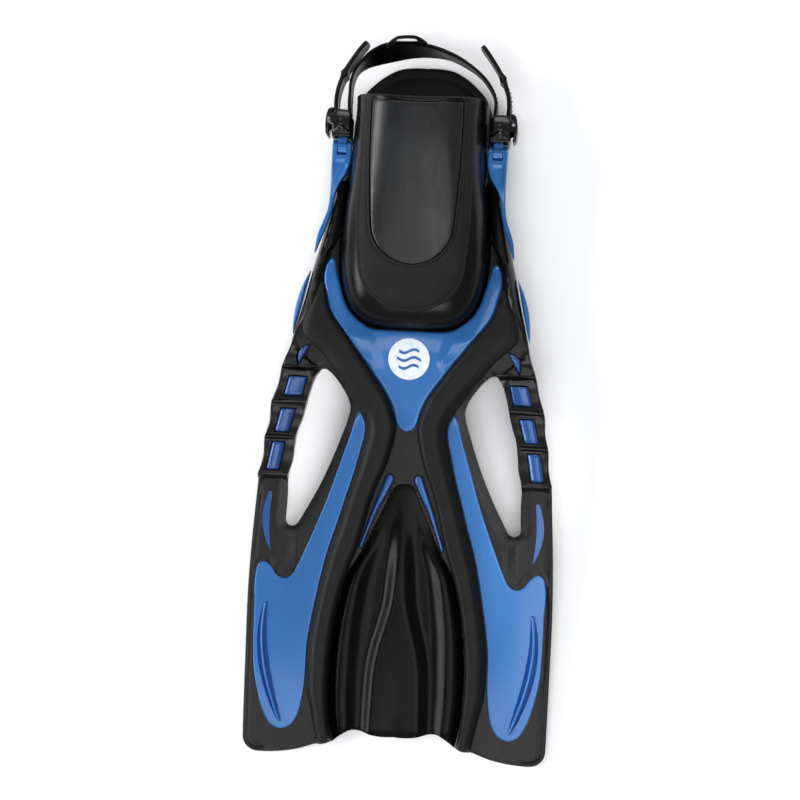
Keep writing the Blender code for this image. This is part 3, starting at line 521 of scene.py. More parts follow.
def smooth_table(y, table):
    """A smooth monotone curve through the table's points."""
    knots, values = np.array(table, float).T
    step = np.diff(knots)
    slope = np.diff(values) / step
    tangent = np.zeros_like(values)
    same = slope[:-1] * slope[1:] > 0
    inner = 2 * slope[:-1] * slope[1:] / np.where(same, slope[:-1] + slope[1:], 1)
    tangent[1:-1] = np.where(same, inner, 0)
    tangent[0], tangent[-1] = slope[0], slope[-1]
    y = np.clip(y, knots[0], knots[-1])
    i = np.clip(np.searchsorted(knots, y) - 1, 0, len(step) - 1)
    t = (y - knots[i]) / step[i]
    return cubic(values[i], values[i + 1], tangent[i], tangent[i + 1], step[i], t)


def pocket_width(y):
    return smooth_table(y, POCKET_WIDTHS)


def pocket_height(y):
    return smooth_table(y, POCKET_HEIGHTS)


def pocket_surface(x, y):
    """Height of the pocket's outside above the sheet."""
    across = np.clip(np.abs(x) / pocket_width(y), 0, 0.995)
    crown = (1 - across ** POCKET_ROUNDNESS) ** (1 / POCKET_ROUNDNESS)
    return SOLE_TOP + GAP + pocket_height(y) * crown


def deck(y):
    """Top of the frame before its details."""
    shoulder = 9.5 * ramp(y, -12, 76) + 4.0 * ramp(y, 76, 130)
    past_rail = ramp(y, 190, 206)
    return BLADE_TOP + shoulder * (1 - past_rail) + (SOLE_TOP - BLADE_TOP) * past_rail


def over_deck(rise):
    return lambda x, y, d: deck(y) + rise


# ---------------------------------------------------------------- outlines (right-hand side)

def scoop_edge():
    return curve((0, -46.5), (5, -47.5), (8.5, -51), (12.5, -60), (18, -72), (23.5, -84), (29, -97),
                 (36, -109), (42, -119), (48, -140), (53, -172), (54.8, -212), (53, -240), (49.5, -256))


def vent_outline():
    edge = chain(((84.6, -81.5), (80, -73), (70, -54), (60, -31), (52, -9), (47.5, 5), (46, 13), (48, 20),
                  (54, 30), (60, 37.5), (66, 42.5)),
                 ((70.5, 42.6), (73.5, 39), (79.5, 23), (82, 12), (84.5, 2), (88, -8), (89.8, -20),
                  (91, -32), (93.7, -42), (94, -60), (94.8, -78)))
    return list(reversed(edge + arc((89.6, -79), 5.2, 0, -150, 10)))


def frame_outline():
    tip = curve((49.5, -256), (62.5, -258.8), (78, -264), (95, -267), (110, -267.5))
    corner = arc((110, -255), 12.5, -90, 0, 10)
    side = chain(((122.5, -255), (123, -200), (122.8, -130), (121, -90), (119, -60), (118, -42)),
                 ((115, -30), (114, -14), (111, -2), (110, 12), (104.5, 30), (102, 42), (96, 60),
                  (94.8, 66)),
                 ((91.5, 80), (86.5, 100), (82, 120), (76, 145), (70, 170), (66, 190)),
                 ((61, 203), (57.5, 222), (56, 245), (54, 258), (49.5, 268), (41.5, 277),
                  (31.5, 285), (20, 290.4), (12, HEEL_Y), (0, HEEL_Y)))
    return both_halves(scoop_edge() + tip + corner + side + [(0, HEEL_Y)])


def crest_outline():
    right = chain(((0, -4.3), (4, -3.5), (7.5, 0), (10.5, 10), (14.6, 20), (20.7, 30), (28, 40), (35, 50),
                   (42.8, 60), (50.2, 70), (58.4, 80), (65, 90), (69.2, 105), (71.4, 115), (71.2, 120),
                   (69.3, 127.5), (66.3, 131.6), (63.2, 130.6)),
                  ((60.8, 120), (57.8, 110), (54.9, 100), (49.7, 90), (44.7, 85), (38.7, 80.3),
                   (34, 77.4), (28, 76), (23, 75.9), (0, 75.9)))
    return both_halves(right + [(0, 75.9)])


def rail_sides():
    """The rail's inner side, its foot at the blade tip and its outer side."""
    inner = curve((72.6, 114), (70, 105), (65.8, 90), (59.2, 80), (51, 70), (43.6, 60), (35.8, 50),
                  (28.8, 40), (21.5, 30), (15.4, 20), (11.3, 10), (8.6, 0), (8.6, -6), (11.5, -20),
                  (14.2, -30), (18, -40), (22.2, -50), (25.4, -60), (30.4, -80), (35.7, -100), (42.2, -118),
                  (48.3, -140), (53.3, -172), (55.1, -212), (53.3, -240), (50.3, -256))
    outer = curve((62.3, -258.6), (68.2, -230), (71.6, -215), (72.3, -200), (72, -180), (69.5, -160),
                  (66, -140), (62.2, -120), (57.5, -100), (51.3, -80), (45.8, -60), (39.8, -40), (35, -20),
                  (32.8, -10), (32.4, 0), (33.8, 5), (38, 12), (44, 20), (52, 32), (60, 42), (69.5, 54.5),
                  (80, 64), (86, 71), (85.5, 85), (80, 98), (73.6, 113.5))
    return inner, curve((50.3, -256), (54, -257.6), (58, -258.5), (62.3, -258.6)), outer


def blade_panel_outline():
    return chain(((38.6, 11.2), (34.7, 4.5), (33.3, 0), (33.7, -10), (36, -20), (40.8, -40), (46.7, -60),
                  (52.3, -80), (58.5, -100), (63.2, -120), (67, -140), (70.5, -160), (73, -180),
                  (73.3, -200), (73.8, -212), (75.6, -225), (79, -238), (84, -245), (92, -248)),
                 ((100, -245), (106, -236), (111.5, -219), (115.4, -200), (116.6, -180), (116.8, -150),
                  (116.6, -122), (115, -116), (111, -113.6), (106, -116), (99, -124.5), (93.5, -126.8),
                  (88, -124), (83, -115), (76.6, -100), (68.6, -80), (61.2, -60), (54.8, -40),
                  (48.4, -20), (45.2, -10), (41.2, 5)))


def crescent(top, bottom, outer, inner):
    return chain((top, inner, bottom), (outer, top), step=1.5)


def strut_windows():
    return ([(81.5, 35.5), (85, 20.5), (99.5, 20.5), (95.5, 35.5)],
            [(90, 9.5), (95, -9), (106, -9), (101.5, 9.5)],
            [(97.5, -17.5), (101.5, -39.5), (111.5, -39.5), (107.5, -17.5)])


def softened(outline, step=1.5):
    """The outline of straight sides with points every step, so that its edges can be rounded."""
    return chain(outline[:2], *[[corner] for corner in outline[2:] + outline[:1]], step=step)


def strut_crescent_outline():
    return crescent((80, 61.5), (88.5, 45.5), (88, 56), (83.6, 53.5))


def edge_crescent_outline():
    return chain(((105.5, -105.5), (107.6, -81), (106.2, -59)),
                 ((106.8, -57.4), (108.2, -57), (109.5, -58.8)),
                 ((113.4, -80), (105.5, -105.5)), step=(1.5, 0.8, 1.5))


def scoop_insert_outline():
    return chain(((8.4, -43.5), (14.7, -57), (20, -67), (26, -82), (31.4, -97)),
                 ((32.6, -99.2), (33.8, -96.5)),
                 ((29.8, -85), (24.4, -68), (19.8, -55.5), (15.6, -44)),
                 ((13.6, -39.8), (9.8, -39.6), (8.4, -43.5)), step=(2, 1, 2, 1))


def bed_outline(clear):
    """Right half of the pocket's footprint on the frame, with that much clearance."""
    stations = [POCKET_TOE_Y, 78.5, 81, 85, 90, 97, 106, 115, *range(125, 262, 8), POCKET_RIM_Y]
    toe = curve((0, POCKET_TOE_Y - clear), (28, POCKET_TOE_Y - clear))
    return toe + [(pocket_width(y) + clear, y) for y in stations]


# ---------------------------------------------------------------- frame and blade

def scallops(y):
    """Depth of the concave steps between the strut's ridges."""
    depth = np.zeros_like(y)
    for high, low in zip(STRUT_RIDGES[:-1], STRUT_RIDGES[1:]):
        t = np.clip((y - low) / (high - low), 0, 1)
        depth += SCALLOP * (1 - (2 * t - 1) ** 2) * (y > low) * (y < high)
    return depth


def ladder(x, y):
    """Height of a side strut with its ridges, outside the vent's edge."""
    past_vent = 1.1 * np.maximum(y - 43, 0)
    height = (STRUT_RISE - scallops(y)) * ramp(y, -47.0, -44.6) * (1 - ramp(y, 50, 64))
    for ridge in STRUT_RIDGES:
        height += 0.5 * hump(y, ridge, 0.9)
    return height * ramp(np.abs(x) - past_vent, 72, 76)


def flank_tube(x, y):
    """Height of the round edge that runs back from the rail along the sole."""
    inner = np.interp(y, (66, 80, 112, 120, 133, 145, 160, 200), (88, 80.5, 73.4, 72.8, 68.5, 62.5, 60.5, 57))
    outer = np.interp(y, (66, 80, 100, 120, 145, 170, 190, 203), (95.3, 91.5, 86.5, 82, 76, 70, 66, 61))
    across = np.clip((2 * np.abs(x) - inner - outer) / (outer - inner), -1, 1)
    return 5.5 * np.sqrt(1 - across ** 2) * ramp(y, 72, 100) * (1 - ramp(y, 188, 206))


def blade_relief(x, y, d):
    """The blade's raised edge and its step, the facet below each vent and the lip over the panel's notch."""
    ax = np.abs(x)
    edge = 1.3 * (1 - ramp(y, -60, -50)) * ramp(ax, 100, 108) * (1 - ramp(d, 1.4, 4.6))
    step = 0.5 * ramp(-y, 139, 140.5) * (1 - ramp(-y, 197, 198.5)) * ramp(ax, 114, 117)
    facet = 0.9 * np.clip((ax - 84.5) / 10, 0, 1) * (ax < 94.6) * ramp(-y, 85, 99) * (1 - ramp(-y, 104, 119))
    from_panel = line_distance(np.stack([ax, y], 1), [blade_panel_outline()])
    lip = hump(from_panel, 1.9, 1.0) * ramp(ax, 76, 84) * ramp(y, -136, -126) * (1 - ramp(y, -62, -50))
    return edge - step + facet + lip


def make_frame():
    holes = [vent_outline(), mirror_outline(vent_outline())]
    wells = [softened(grow(window, 0.5)) for window in strut_windows()]
    wells += [grow(outline, 0.5) for outline in (strut_crescent_outline(), edge_crescent_outline(),
                                                 scoop_insert_outline())]
    guides, floors = [], []
    for loop in wells:
        for here in (loop, mirror_outline(loop)):
            guides += [here, grow(here, 0.45)]
            floors.append(grow(here, 0.22))
    for ridge in STRUT_RIDGES:
        for low, high in ((-121, -70), (70, 121)):
            guides += [box_loop(low, high, ridge - half, ridge + half) for half in (0.5, 1.3)]
    guides += [box_loop(-94.5, -84.5, -118, -87), box_loop(84.5, 94.5, -118, -87)]
    guides += [both_halves(bed_outline(clear)) for clear in (0.5, 0.9)]
    bed = both_halves(bed_outline(0.7))

    def top(x, y, d):
        plan = np.stack([x, y], 1)
        side_round = 4.0 * ramp(y, 66, 100) * (1 - ramp(y, 180, 206)) * (1 - ramp(d, 0, 5))
        relief = ladder(x, y) + flank_tube(x, y) + blade_relief(x, y, d)
        height = deck(y) + relief - side_round - rounded(d, 1.4)
        for floor in floors:
            sunk = inside(plan, floor)
            height[sunk] = np.minimum(height, deck(y) - 1.5)[sunk]
        in_bed = inside(plan, bed) | ((y > 262) & (np.abs(x) < 53.5))
        heel_plate = SOLE_TOP - rounded(d, 1.6, 1.2)
        return np.where(in_bed, heel_plate, height)

    def bottom(x, y, d):
        return SOLE_BOTTOM * ramp(y, 30, 75) + rounded(d, 1.2, 0.9) * ramp(y, -262, -255)

    dense = [((-121, -50), (-70, 70), 1.5), ((70, -50), (121, 70), 1.5)]
    plate("frame_skin", "blade_frame", frame_outline(), bottom, top, "frame", sharp=42, holes=holes,
          guides=guides, grid=3.2, dense=dense, rows=(0.1, 0.45, 1.1, 2.2, 3.4, 4.6))


def make_rails():
    inner, foot, outer = rail_sides()
    outline = inner + foot + outer

    def top(x, y, d):
        from_inner = off_line(x, y, inner + foot[:1])
        from_outer = off_line(x, y, outer + [(73.6, 113.5)])
        t = from_inner / np.maximum(from_inner + from_outer, 1e-6)
        flank = np.clip((t - 0.60) / 0.40, 0, 1)
        shape = quarter_round(t / 0.24) * (1 - 0.80 * flank ** 1.7) - 0.05 * np.abs(t - 0.42)
        flatter = 1 - 0.45 * ramp(y, 10, 70)
        end = quarter_round(off_line(x, y, foot) / 3.5)
        tip = ramp(113 - y, 0, 18)
        height = 2.2 + 7.8 * flatter * shape * (0.72 + 0.28 * end) * (0.3 + 0.7 * tip)
        return deck(y) + GAP + height - rounded(d, 0.7)

    pair("rail", outline, over_deck(GAP), top, "matte", grid=2.6, rows=(0.07, 0.3, 0.7, 1.5, 2.6, 4.0))


def make_blade_panels():
    """Each panel with its crisp rib, and a thin dark blue sheet along the rib's foot that paints the shade of
    the rib's steep flanks.
    """
    rib_line = curve(*PANEL_RIB, step=1.5) + [PANEL_RIB[-1]]
    swell = np.sin(np.linspace(0, math.pi, len(rib_line))) ** 0.7

    def skin(x, y):
        return deck(y) + GAP + PANEL_THICKNESS + 0.5 * hump(x, 96, 26) * hump(y, -180, 60)

    def top(x, y, d):
        ridge = 2.3 * np.sqrt(1 - np.clip(off_line(x, y, rib_line) / 1.4, 0, 1) ** 2)
        return skin(x, y) + ridge - rounded(d, 1.0, 0.9)

    guides = [grow_line(rib_line, w) for w in (0.02, 0.35, 0.7, 1.05, 1.4, 2.0, 2.8)]
    pair("blade_panel", blade_panel_outline(), over_deck(GAP), top, "blue", guides=guides, grid=3.0,
         rows=(0.1, 0.4, 0.8, 1.3, 2.6))
    # A thin dark blue sheet on each side of the rib, which is painted shade for the rib's steeply falling
    # flanks.
    middle = np.array(rib_line)
    along = np.gradient(middle, axis=0)
    across = np.stack([along[:, 1], -along[:, 0]], 1) / np.linalg.norm(along, axis=1)[:, None]
    wide = across * (1.3 + 3.1 * swell)[:, None]
    flank = [tuple(q) for q in middle + wide] + [tuple(q) for q in (middle - wide)[::-1]]
    points, faces = plate_mesh(flank, lambda x, y, d: skin(x, y) - 0.4,
                               lambda x, y, d: skin(x, y) + 0.15 + 0.5 * ramp(d, 0, 2.2), grid=1.2,
                               rows=(0.3, 0.8, 1.4))
    mirrored_pair("rib_flank_SIDE", None, points, faces, "painted_rib_shade")


def grow_line(line, width):
    """A closed loop round an open line, at that distance from it."""
    p = np.array(line, float)
    along = np.gradient(p, axis=0)
    along /= np.linalg.norm(along, axis=1)[:, None]
    side = np.stack([along[:, 1], -along[:, 0]], 1) * width

    def cap(k, sign):
        turns = np.linspace(0, math.pi, 7)[1:-1, None]
        return p[k] + sign * (np.cos(turns) * side[k] + np.sin(turns) * width * along[k])

    return [tuple(q) for q in np.vstack([p + side, cap(-1, 1), (p - side)[::-1], cap(0, -1)])]


def wave_loop(middle):
    """A thin wave across the badge, that far from the badge's middle."""
    ends = 9.6 - 0.25 * abs(middle)
    up = [(x, middle + 1.1 + 1.5 * math.sin(x / 2.6)) for x in np.linspace(-ends, ends, 24)]
    down = [(x, middle - 1.1 + 1.5 * math.sin(x / 2.6)) for x in np.linspace(ends, -ends, 24)]
    return [(x, y + BADGE_Y) for x, y in up + down]


def make_crest():
    arm_line = curve((10, 22), (30, 48), (52, 78), (62, 100), (66, 128), step=3)

    def dished(x, y):
        return deck(y) + GAP + PANEL_THICKNESS + 0.6 - 1.1 * hump(x, 0, 26) * hump(y, 50, 30)

    def top(x, y, d):
        ax = np.abs(x)
        ridge = 0.9 * hump(off_line(x, y, arm_line), 0, 6) * ramp(y, 60, 84)
        facet = 0.8 * ramp(ax - 0.35 * (y - 50), 22, 26) * ramp(y, 44, 52) * (1 - ramp(y, 70, 76))
        tip = 0.7 * ramp(y, 119, 122)
        return dished(x, y) + ridge + facet - tip - rounded(d, 1.9, 1.7)

    plate("crest_skin", "crest_panel", crest_outline(), over_deck(GAP), top, "blue", grid=2.8,
          rows=(0.1, 0.5, 1.1, 1.9, 3.2))
    plate("badge_skin", "crest_badge", arc((0, BADGE_Y), BADGE_RADIUS, 0, 360, 72),
          lambda x, y, d: dished(x, y) + 0.02, lambda x, y, d: dished(x, y) + 0.55 - rounded(d, 0.3), "ink",
          grid=1.8, rows=(0.3,), holes=[wave_loop(6.2), wave_loop(0), wave_loop(-6.2)])


def make_membrane():
    membrane = both_halves([(x - GAP, y) if x > 1 else (x, y - GAP) for x, y in scoop_edge()]
                           + curve((49.2, -256), (42, -250), (34, -246), (27, -246.5), (20, -248.8),
                                   (12, -250), (0, -249.8)) + [(0, -249.8)])

    def top(x, y, d):
        ax = np.abs(x)
        edge = smooth_table(y, ((-256, 49), (-240, 53), (-212, 54.8), (-172, 53), (-140, 48), (-118, 42),
                                (-97, 29), (-72, 18), (-50, 8.5)))
        half = smooth_table(-y, ((40, 1.2), (60, 1.8), (110, 4.2), (140, 6.5), (160, 11), (178, 16),
                                 (200, 19.5), (256, 21.5)))
        tongue = 6.4 * ramp(-y, 50, 125) * (1 - ramp(ax, half - 3.5, half + 9))
        fold = 6.0 * ramp(-y, 75, 130) * hump(ax, 0.79 * edge, 0.17 * edge)
        hollow = 1.2 * hump(x, 0, 9) * ramp(-y, 190, 240)
        return 2.8 + tongue + fold - hollow - rounded(d, 1.0, 0.8)

    plate("scoop_skin", "scoop_membrane", membrane,
          lambda x, y, d: top(x, y, d * 0 + 9) - MEMBRANE_THICKNESS, top, "web", sharp=50, grid=2.2,
          rows=(0.1, 0.4, 1.0, 2.2))


def make_inserts():
    for number, window in enumerate(strut_windows(), 1):
        (top_left, top_y), (low_left, low_y), (low_right, _), (top_right, _) = window

        def top(x, y, d):
            t = (y - low_y) / (top_y - low_y)
            left = low_left + (top_left - low_left) * t
            right = low_right + (top_right - low_right) * t
            u = (np.abs(x) - left) / (right - left)
            roll = 1.2 * hump(u, 0.64, 0.34) - 0.5 * hump(u, 0.10, 0.14)
            return deck(y) + STRUT_RISE - 1.6 + roll - rounded(d, 1.8, 1.8)

        pair(f"strut_insert_{number}", softened(window, 1.2), level(SOLE_TOP + GAP), top, "trim", grid=1.2,
             rows=(0.1, 0.5, 1.1))
    for name, outline, base, rise, radius in (
            ("edge_crescent", edge_crescent_outline(), 0.7, 3.6, 3.2),
            ("scoop_insert", scoop_insert_outline(), 0.7, 3.2, 2.2),
            ("strut_crescent", strut_crescent_outline(), 2.3, 6.2, 2.6)):
        pair(name, outline, over_deck(base),
             lambda x, y, d, rise=rise, radius=radius: deck(y) + rise - rounded(d, radius, radius * 0.9),
             "trim", grid=1.2, rows=(0.08, 0.4, 0.9, 1.5, 2.1, 2.7), sharp=70)
    leaf = crescent((83.4, 121), (95, 70), (92.6, 98), (88.4, 97))
    pair("flank_insert", leaf, over_deck(-9), lambda x, y, d: deck(y) - 0.6 - rounded(d, 2.6, 2.6), "blue",
         grid=1.2, rows=(0.08, 0.4, 0.9, 1.5))


# ---------------------------------------------------------------- foot pocket and sole

def rim_dip(x):
    """How far the pocket's top rim dips towards the toe between its corners."""
    return 4.2 * (1 - np.minimum(np.abs(x) / 53, 1) ** 2)


def make_pocket():
    """Shell with a beaded rim: outer skin, inner skin, and the edges between them."""
    stations = [77, 77.4, 78, 79, 80, 81.5, 83, 85, 87, 90, 93, 97]
    stations += [*range(101, 258, 4), 258, 259, 260, 260.8, 261.5, 262]
    angles = np.linspace(0, math.pi, 85)
    cosines = np.sign(np.cos(angles)) * np.abs(np.cos(angles)) ** (2 / POCKET_ROUNDNESS)
    sines = np.abs(np.sin(angles)) ** (2 / POCKET_ROUNDNESS)
    sines[0] = sines[-1] = 0.0
    points = []
    for outer, inset in ((1, 0.0), (0, POCKET_WALL)):
        for y in stations:
            bead = outer * (math.sqrt(max(0, 1 - ((y - 260.2) / 1.9) ** 2)) + 0.5 * hump(y, 256, 1.2))
            toe = outer * 1.3 * (1 - min(1, (y - 77) / 1.3)) ** 2
            rim = outer * 0.7 * max(0, (y - 261.2) / 0.8) ** 2
            curl = 1.8 * ramp(y, 235, 262) * hump(np.abs(cosines), 0.93, 0.10)
            ridge = outer * 0.9 * hump(np.abs(cosines), 0.86, 0.035) * ramp(y, 118, 140)
            here = y if outer or y > 258 else y + inset * (1 - ramp(y, 85, 120))
            x = (pocket_width(y) - inset + bead * 0.3 - rim) * cosines
            height = (pocket_height(y) - inset + bead - toe - rim) * sines * (1 + (ridge + curl) / 60)
            dip = rim_dip(x) * ramp(here, 222, 262) * np.minimum(1.0, sines * 1.3)
            points.append(np.stack([x, here - dip, SOLE_TOP + GAP + height + arch(here)], 1))
    rows, columns = len(stations), len(angles)
    shell, last = rows * columns, columns - 1
    faces = [(a, d, c, b) for a, b, c, d in net(rows, columns)] + net(rows, columns, shell)
    for a in range(0, shell - columns, columns):
        b = a + columns
        faces.append((a, shell + a, shell + b, b))
        faces.append((a + last, b + last, shell + b + last, shell + a + last))
    for j in range(last):
        a = shell - columns + j
        faces.append((a, shell + a, shell + a + 1, a + 1))
        faces.append((j, j + 1, shell + j + 1, shell + j))
    add_piece("pocket_skin", np.vstack(points), faces, "gloss", stands_for=["foot_pocket"], sharp=50)


def instep_loop(widths, end):
    """Right half of a U: down the side, then a quarter ellipse to the middle at y = end."""
    last_x, last_y = widths[-1]
    round_end = [(last_x * c, last_y + (end - last_y) * s) for c, s in arc((0, 0), 1, 0, 90, 14)]
    return curve(*widths) + round_end + [(0, end)]


def make_instep():
    def rim(x):
        return POCKET_RIM_Y - 4.5 - rim_dip(x)

    panel = instep_loop(((36, rim(36)), (35.4, 200), (33, 160)), 126.5)
    bezel_in = [(x + 0.5, y) if x > 0 else (x, y - 0.5) for x, y in panel]
    bezel_out = instep_loop(((44, rim(44)), (45, 200), (45, 150), (43, 128)), 89.5)
    half = list(reversed(bezel_out))
    ring = half + both_halves(bezel_in) + [(-x, y) for x, y in bezel_out if x > 0]

    def under(x, y, d):
        return pocket_surface(x, y) - 0.6

    plate("bezel_skin", "instep_bezel", ring, under,
          lambda x, y, d: pocket_surface(x, y) + 2.2 - rounded(d, 0.9) - 0.7 * hump(d, 2.3, 0.6), "band",
          grid=2.6, rows=(0.1, 0.4, 0.9, 1.6, 2.3, 3.0))
    rim_edge = curve((36, rim(36)), (18, rim(18)), (0, rim(0)))[1:] + [(0, rim(0))]
    plate("instep_skin", "instep_panel", both_halves(list(reversed(panel)) + rim_edge), under,
          lambda x, y, d: pocket_surface(x, y) + 1.6 - rounded(d, 1.2, 1.1), "panel", grid=2.6,
          rows=(0.1, 0.5, 1.2))


def make_sole():
    inner = POCKET_WALL + 0.7
    bed = [(0, 82.0), (12, 82.0), (24, 82.0)]
    bed += [(pocket_width(y - 4) - inner, y) for y in (86, 89, 92, 96, 100, 106, 112, 120)]
    bed += [(pocket_width(y) - inner, y) for y in range(130, 236, 5)]
    bed += curve((49.6, 240), (49, 255), (45, 266), (38, 272.5), (28, 279), (17, 282.6), (0, 283.5))[1:]
    bed += [(0, 283.5)]

    def top(x, y, d):
        cup = 1.1 * hump(d, 4.5, 2.6) * ramp(y, 225, 245)
        ribs = 0.35 * (np.sin(y * 0.9) > 0.2) * ramp(y, 150, 160) * (1 - ramp(y, 236, 240)) * ramp(d, 6, 8)
        return SOLE_TOP + 1.6 + cup + ribs - rounded(d, 1.2, 1.0)

    plate("footbed_skin", "footbed", both_halves(bed), level(SOLE_TOP + GAP), top, "bed", grid=2.8,
          rows=(0.1, 0.5, 1.2, 2.5, 4.5))
    heel = chain(((0, 236), (30, 236)), ((42, 240), (46, 250), (42, 264), (30, 276), (15, 281.5), (0, 282.5)))
    toe = chain(((0, 96), (30, 98)), ((44, 106), (49, 125), (46, 145), (30, 152), (0, 153)))
    for name, half, end, low in (("heel_grip", heel, (0, 282.5), lambda y: -arch(y)),
                                 ("toe_grip", toe, (0, 153), lambda y: 0.0 * y)):
        def tread(x, y, d, low=low):
            bars = 0.7 * (np.abs(((x + y) / 5) % 2 - 1) < 0.35) * ramp(d, 2, 3)
            return low(y) + bars * (y < 200) + rounded(d, 0.8, 0.6) * (y < 200)

        plate(name + "_skin", name + "_pad", both_halves(half + [end]), tread, level(SOLE_BOTTOM - GAP),
              "bed", grid=1.6, rows=(0.4, 1.0))


# ---------------------------------------------------------------- side arms, buckles and strap

def make_arms():
    inner_ear, outer_ear = PIVOT_X - SLOT_HALF, PIVOT_X + SLOT_HALF
    end = PIVOT_Y + EAR_RADIUS
    slot_end = 214.6
    outline = chain(((80, 135), (79.6, 142), (78.4, 150), (75, 160), (71.8, 170), (70.6, 180), (70.2, 190),
                     (70.3, 205), (70.5, PIVOT_Y)),
                    ((70.4, end),), ((outer_ear, end),), ((outer_ear, slot_end),), ((inner_ear, slot_end),),
                    ((inner_ear, end),), ((55, end),), ((55, PIVOT_Y),),
                    ((55, 210), (58, 200), (63, 192), (66.3, 183), (67.6, 172), (69.6, 164), (73, 153),
                     (76, 145), (79, 136)), step=(2, 0.7, 1.4, 0.9, 1.4, 0.9, 1.4, 0.7, 2))

    def middle(y):
        on_rail = deck(np.minimum(y, 188.0)) + 0.7 + 3.0
        return on_rail + (PIVOT_Z - arch(PIVOT_Y) - on_rail) * ramp(y, 172, 208)

    def half(y):
        body = 3.0 + (EAR_RADIUS - 3.0) * ramp(y, 175, 206)
        past = np.clip((y - PIVOT_Y) / EAR_RADIUS, 0, 0.985)
        return body * np.sqrt(1 - past ** 2)

    def edge(x, y, d):
        """Rounded outside but nearly sharp along the slot, so that fork and tongue read as one block."""
        at_slot = (np.abs(np.abs(x) - PIVOT_X) < SLOT_HALF + 1.8) & (y > slot_end - 1.8)
        return np.where(at_slot, rounded(d, 0.35, 0.3), rounded(d, 1.3, 1.2))

    def top(x, y, d):
        dish = 1.0 * ramp(d, 1.2, 3.4) * ramp(y, 186, 195) * (1 - ramp(y, 207, 213))
        return middle(y) + half(y) - dish - edge(x, y, d)

    pair("side_arm", outline, lambda x, y, d: middle(y) - half(y) + edge(x, y, d), top, "blue",
         grid=1.7, rows=(0.08, 0.4, 0.9, 1.3, 2.2))


def joined(*meshes):
    """Several closed meshes as one list of points and faces."""
    points, faces = [], []
    for more_points, more_faces in meshes:
        start = len(points)
        points += [tuple(p) for p in more_points]
        faces += [tuple(i + start for i in face) for face in more_faces]
    return np.array(points), faces


def spun(profile, turns=40):
    """A round solid about X from (radius, x) points that start and end on the axis."""
    points = [(profile[0][1], 0, 0)]
    for radius, x in profile[1:-1]:
        points += [(x, *q) for q in arc((0, 0), radius, 0, 360, turns)]
    points.append((profile[-1][1], 0, 0))
    last = len(points) - 1
    rim = last - turns
    faces = net(len(profile) - 2, turns, 1, closed=True)
    for k in range(turns):
        n = (k + 1) % turns
        faces += [(0, 1 + n, 1 + k), (rim + k, rim + n, last)]
    return np.array(points), faces


def make_buckles():
    """Each buckle's cross wall and two domed cheeks, and the blue tongue that fills the arm's fork."""
    inner_x, outer_x = BUCKLE_INNER_X, BUCKLE_OUTER_X
    wall = plate_mesh(softened(box_loop(inner_x, outer_x, WALL_FRONT, WALL_BACK), 0.9),
                      lambda x, y, d: -BUCKLE_HALF + rounded(d, 0.8),
                      lambda x, y, d: BUCKLE_HALF - rounded(d, 0.8), grid=1.2, rows=(0.08, 0.3, 0.8),
                      arched=False)
    front = WALL_BACK - 2.6
    cheek = chain(((inner_x, CHEEK_BACK - 4), (inner_x, front)), ((outer_x, front),),
                  ((outer_x + 0.4, LEVER_Y - 5),),
                  ((LEVER_X + 1.2, LEVER_Y - 2.8), (LEVER_X + 2.2, LEVER_Y), (LEVER_X + 1.2, LEVER_Y + 2.8),
                   (outer_x + 0.5, CHEEK_BACK - 3)),
                  ((outer_x - 2.4, CHEEK_BACK), (63.5, CHEEK_BACK + 0.3), (inner_x + 2.4, CHEEK_BACK - 0.6),
                   (inner_x, CHEEK_BACK - 4)), step=(1, 1, 1, 0.8, 0.8))

    def cheek_top(x, y, d):
        reach = np.hypot(x - ROLLER_X, y - ROLLER_Y)
        dome = 2.6 * np.clip(1 - (reach / 11) ** 2, 0, 1)
        dimple = 0.8 * (1 - ramp(reach, 1.8, 3.2))
        spokes = 0.9 * sum(hump(off_line(x, y, [(63.7, 15), end]), 0, 0.9)
                           for end in ((57.0, 8.6), (63.7, 8), (70.3, 8.6)))
        return BUCKLE_HALF - 1.6 + dome - dimple + spokes - rounded(d, 1.5, 1.4)

    upper = plate_mesh(cheek, level(BUCKLE_HALF - CHEEK), cheek_top, grid=1.1,
                       rows=(0.08, 0.35, 0.8, 1.5), arched=False)
    lower = (upper[0] * (1, 1, -1), [tuple(face)[::-1] for face in upper[1]])
    points, faces = joined(wall, upper, lower)
    mirrored_pair("buckle_body_skin_SIDE", "buckle_body_SIDE", points, faces, "buckle", "strap_assembly",
                  place=on_strap)
    eye, chamfer = EAR_RADIUS - 0.1, 0.25
    half, flat = TONGUE_HALF, TONGUE_HALF - chamfer
    points, faces = spun([(0, -half), (eye - chamfer, -half), (eye, -flat), (eye, flat),
                          (eye - chamfer, half), (0, half)])
    neck = plate_mesh(softened(box_loop(PIVOT_X - half, PIVOT_X + half, 1, WALL_FRONT + 1), 1), level(-5.2),
                      lambda x, y, d: 5.2 - rounded(d, 0.5), grid=1.4, rows=(0.2, 0.5), arched=False)
    points, faces = joined((points + (PIVOT_X, 0, 0), faces), neck)
    mirrored_pair("buckle_link_SIDE", None, points, faces, "blue", "strap_assembly", place=on_strap)


def make_levers():
    outline = chain(((73.8, 10), (74.6, 8.4), (76, 9.4), (77, 14), (77.2, 20), (76.8, 25), (75.6, 29.5)),
                    ((73.6, 31), (71.3, 31.2)),
                    ((71.5, 28.6), (73, 26), (72.2, 23), (71.9, 21), (72.2, 18), (74, 14), (73.8, 10)),
                    step=0.7)

    def pad(x, y, d):
        narrow = 2.0 * (1 - ramp(y, 8, 15))
        return LEVER_HALF - narrow - rounded(d, 1.1, 1.1)

    points, faces = plate_mesh(outline, lambda x, y, d: -pad(x, y, d), pad, grid=1.0,
                               rows=(0.08, 0.3, 0.7, 1.1), arched=False)
    mirrored_pair("lever_skin_SIDE", "release_lever_SIDE", points, faces, "buckle", "lever_SIDE",
                  place=on_strap)


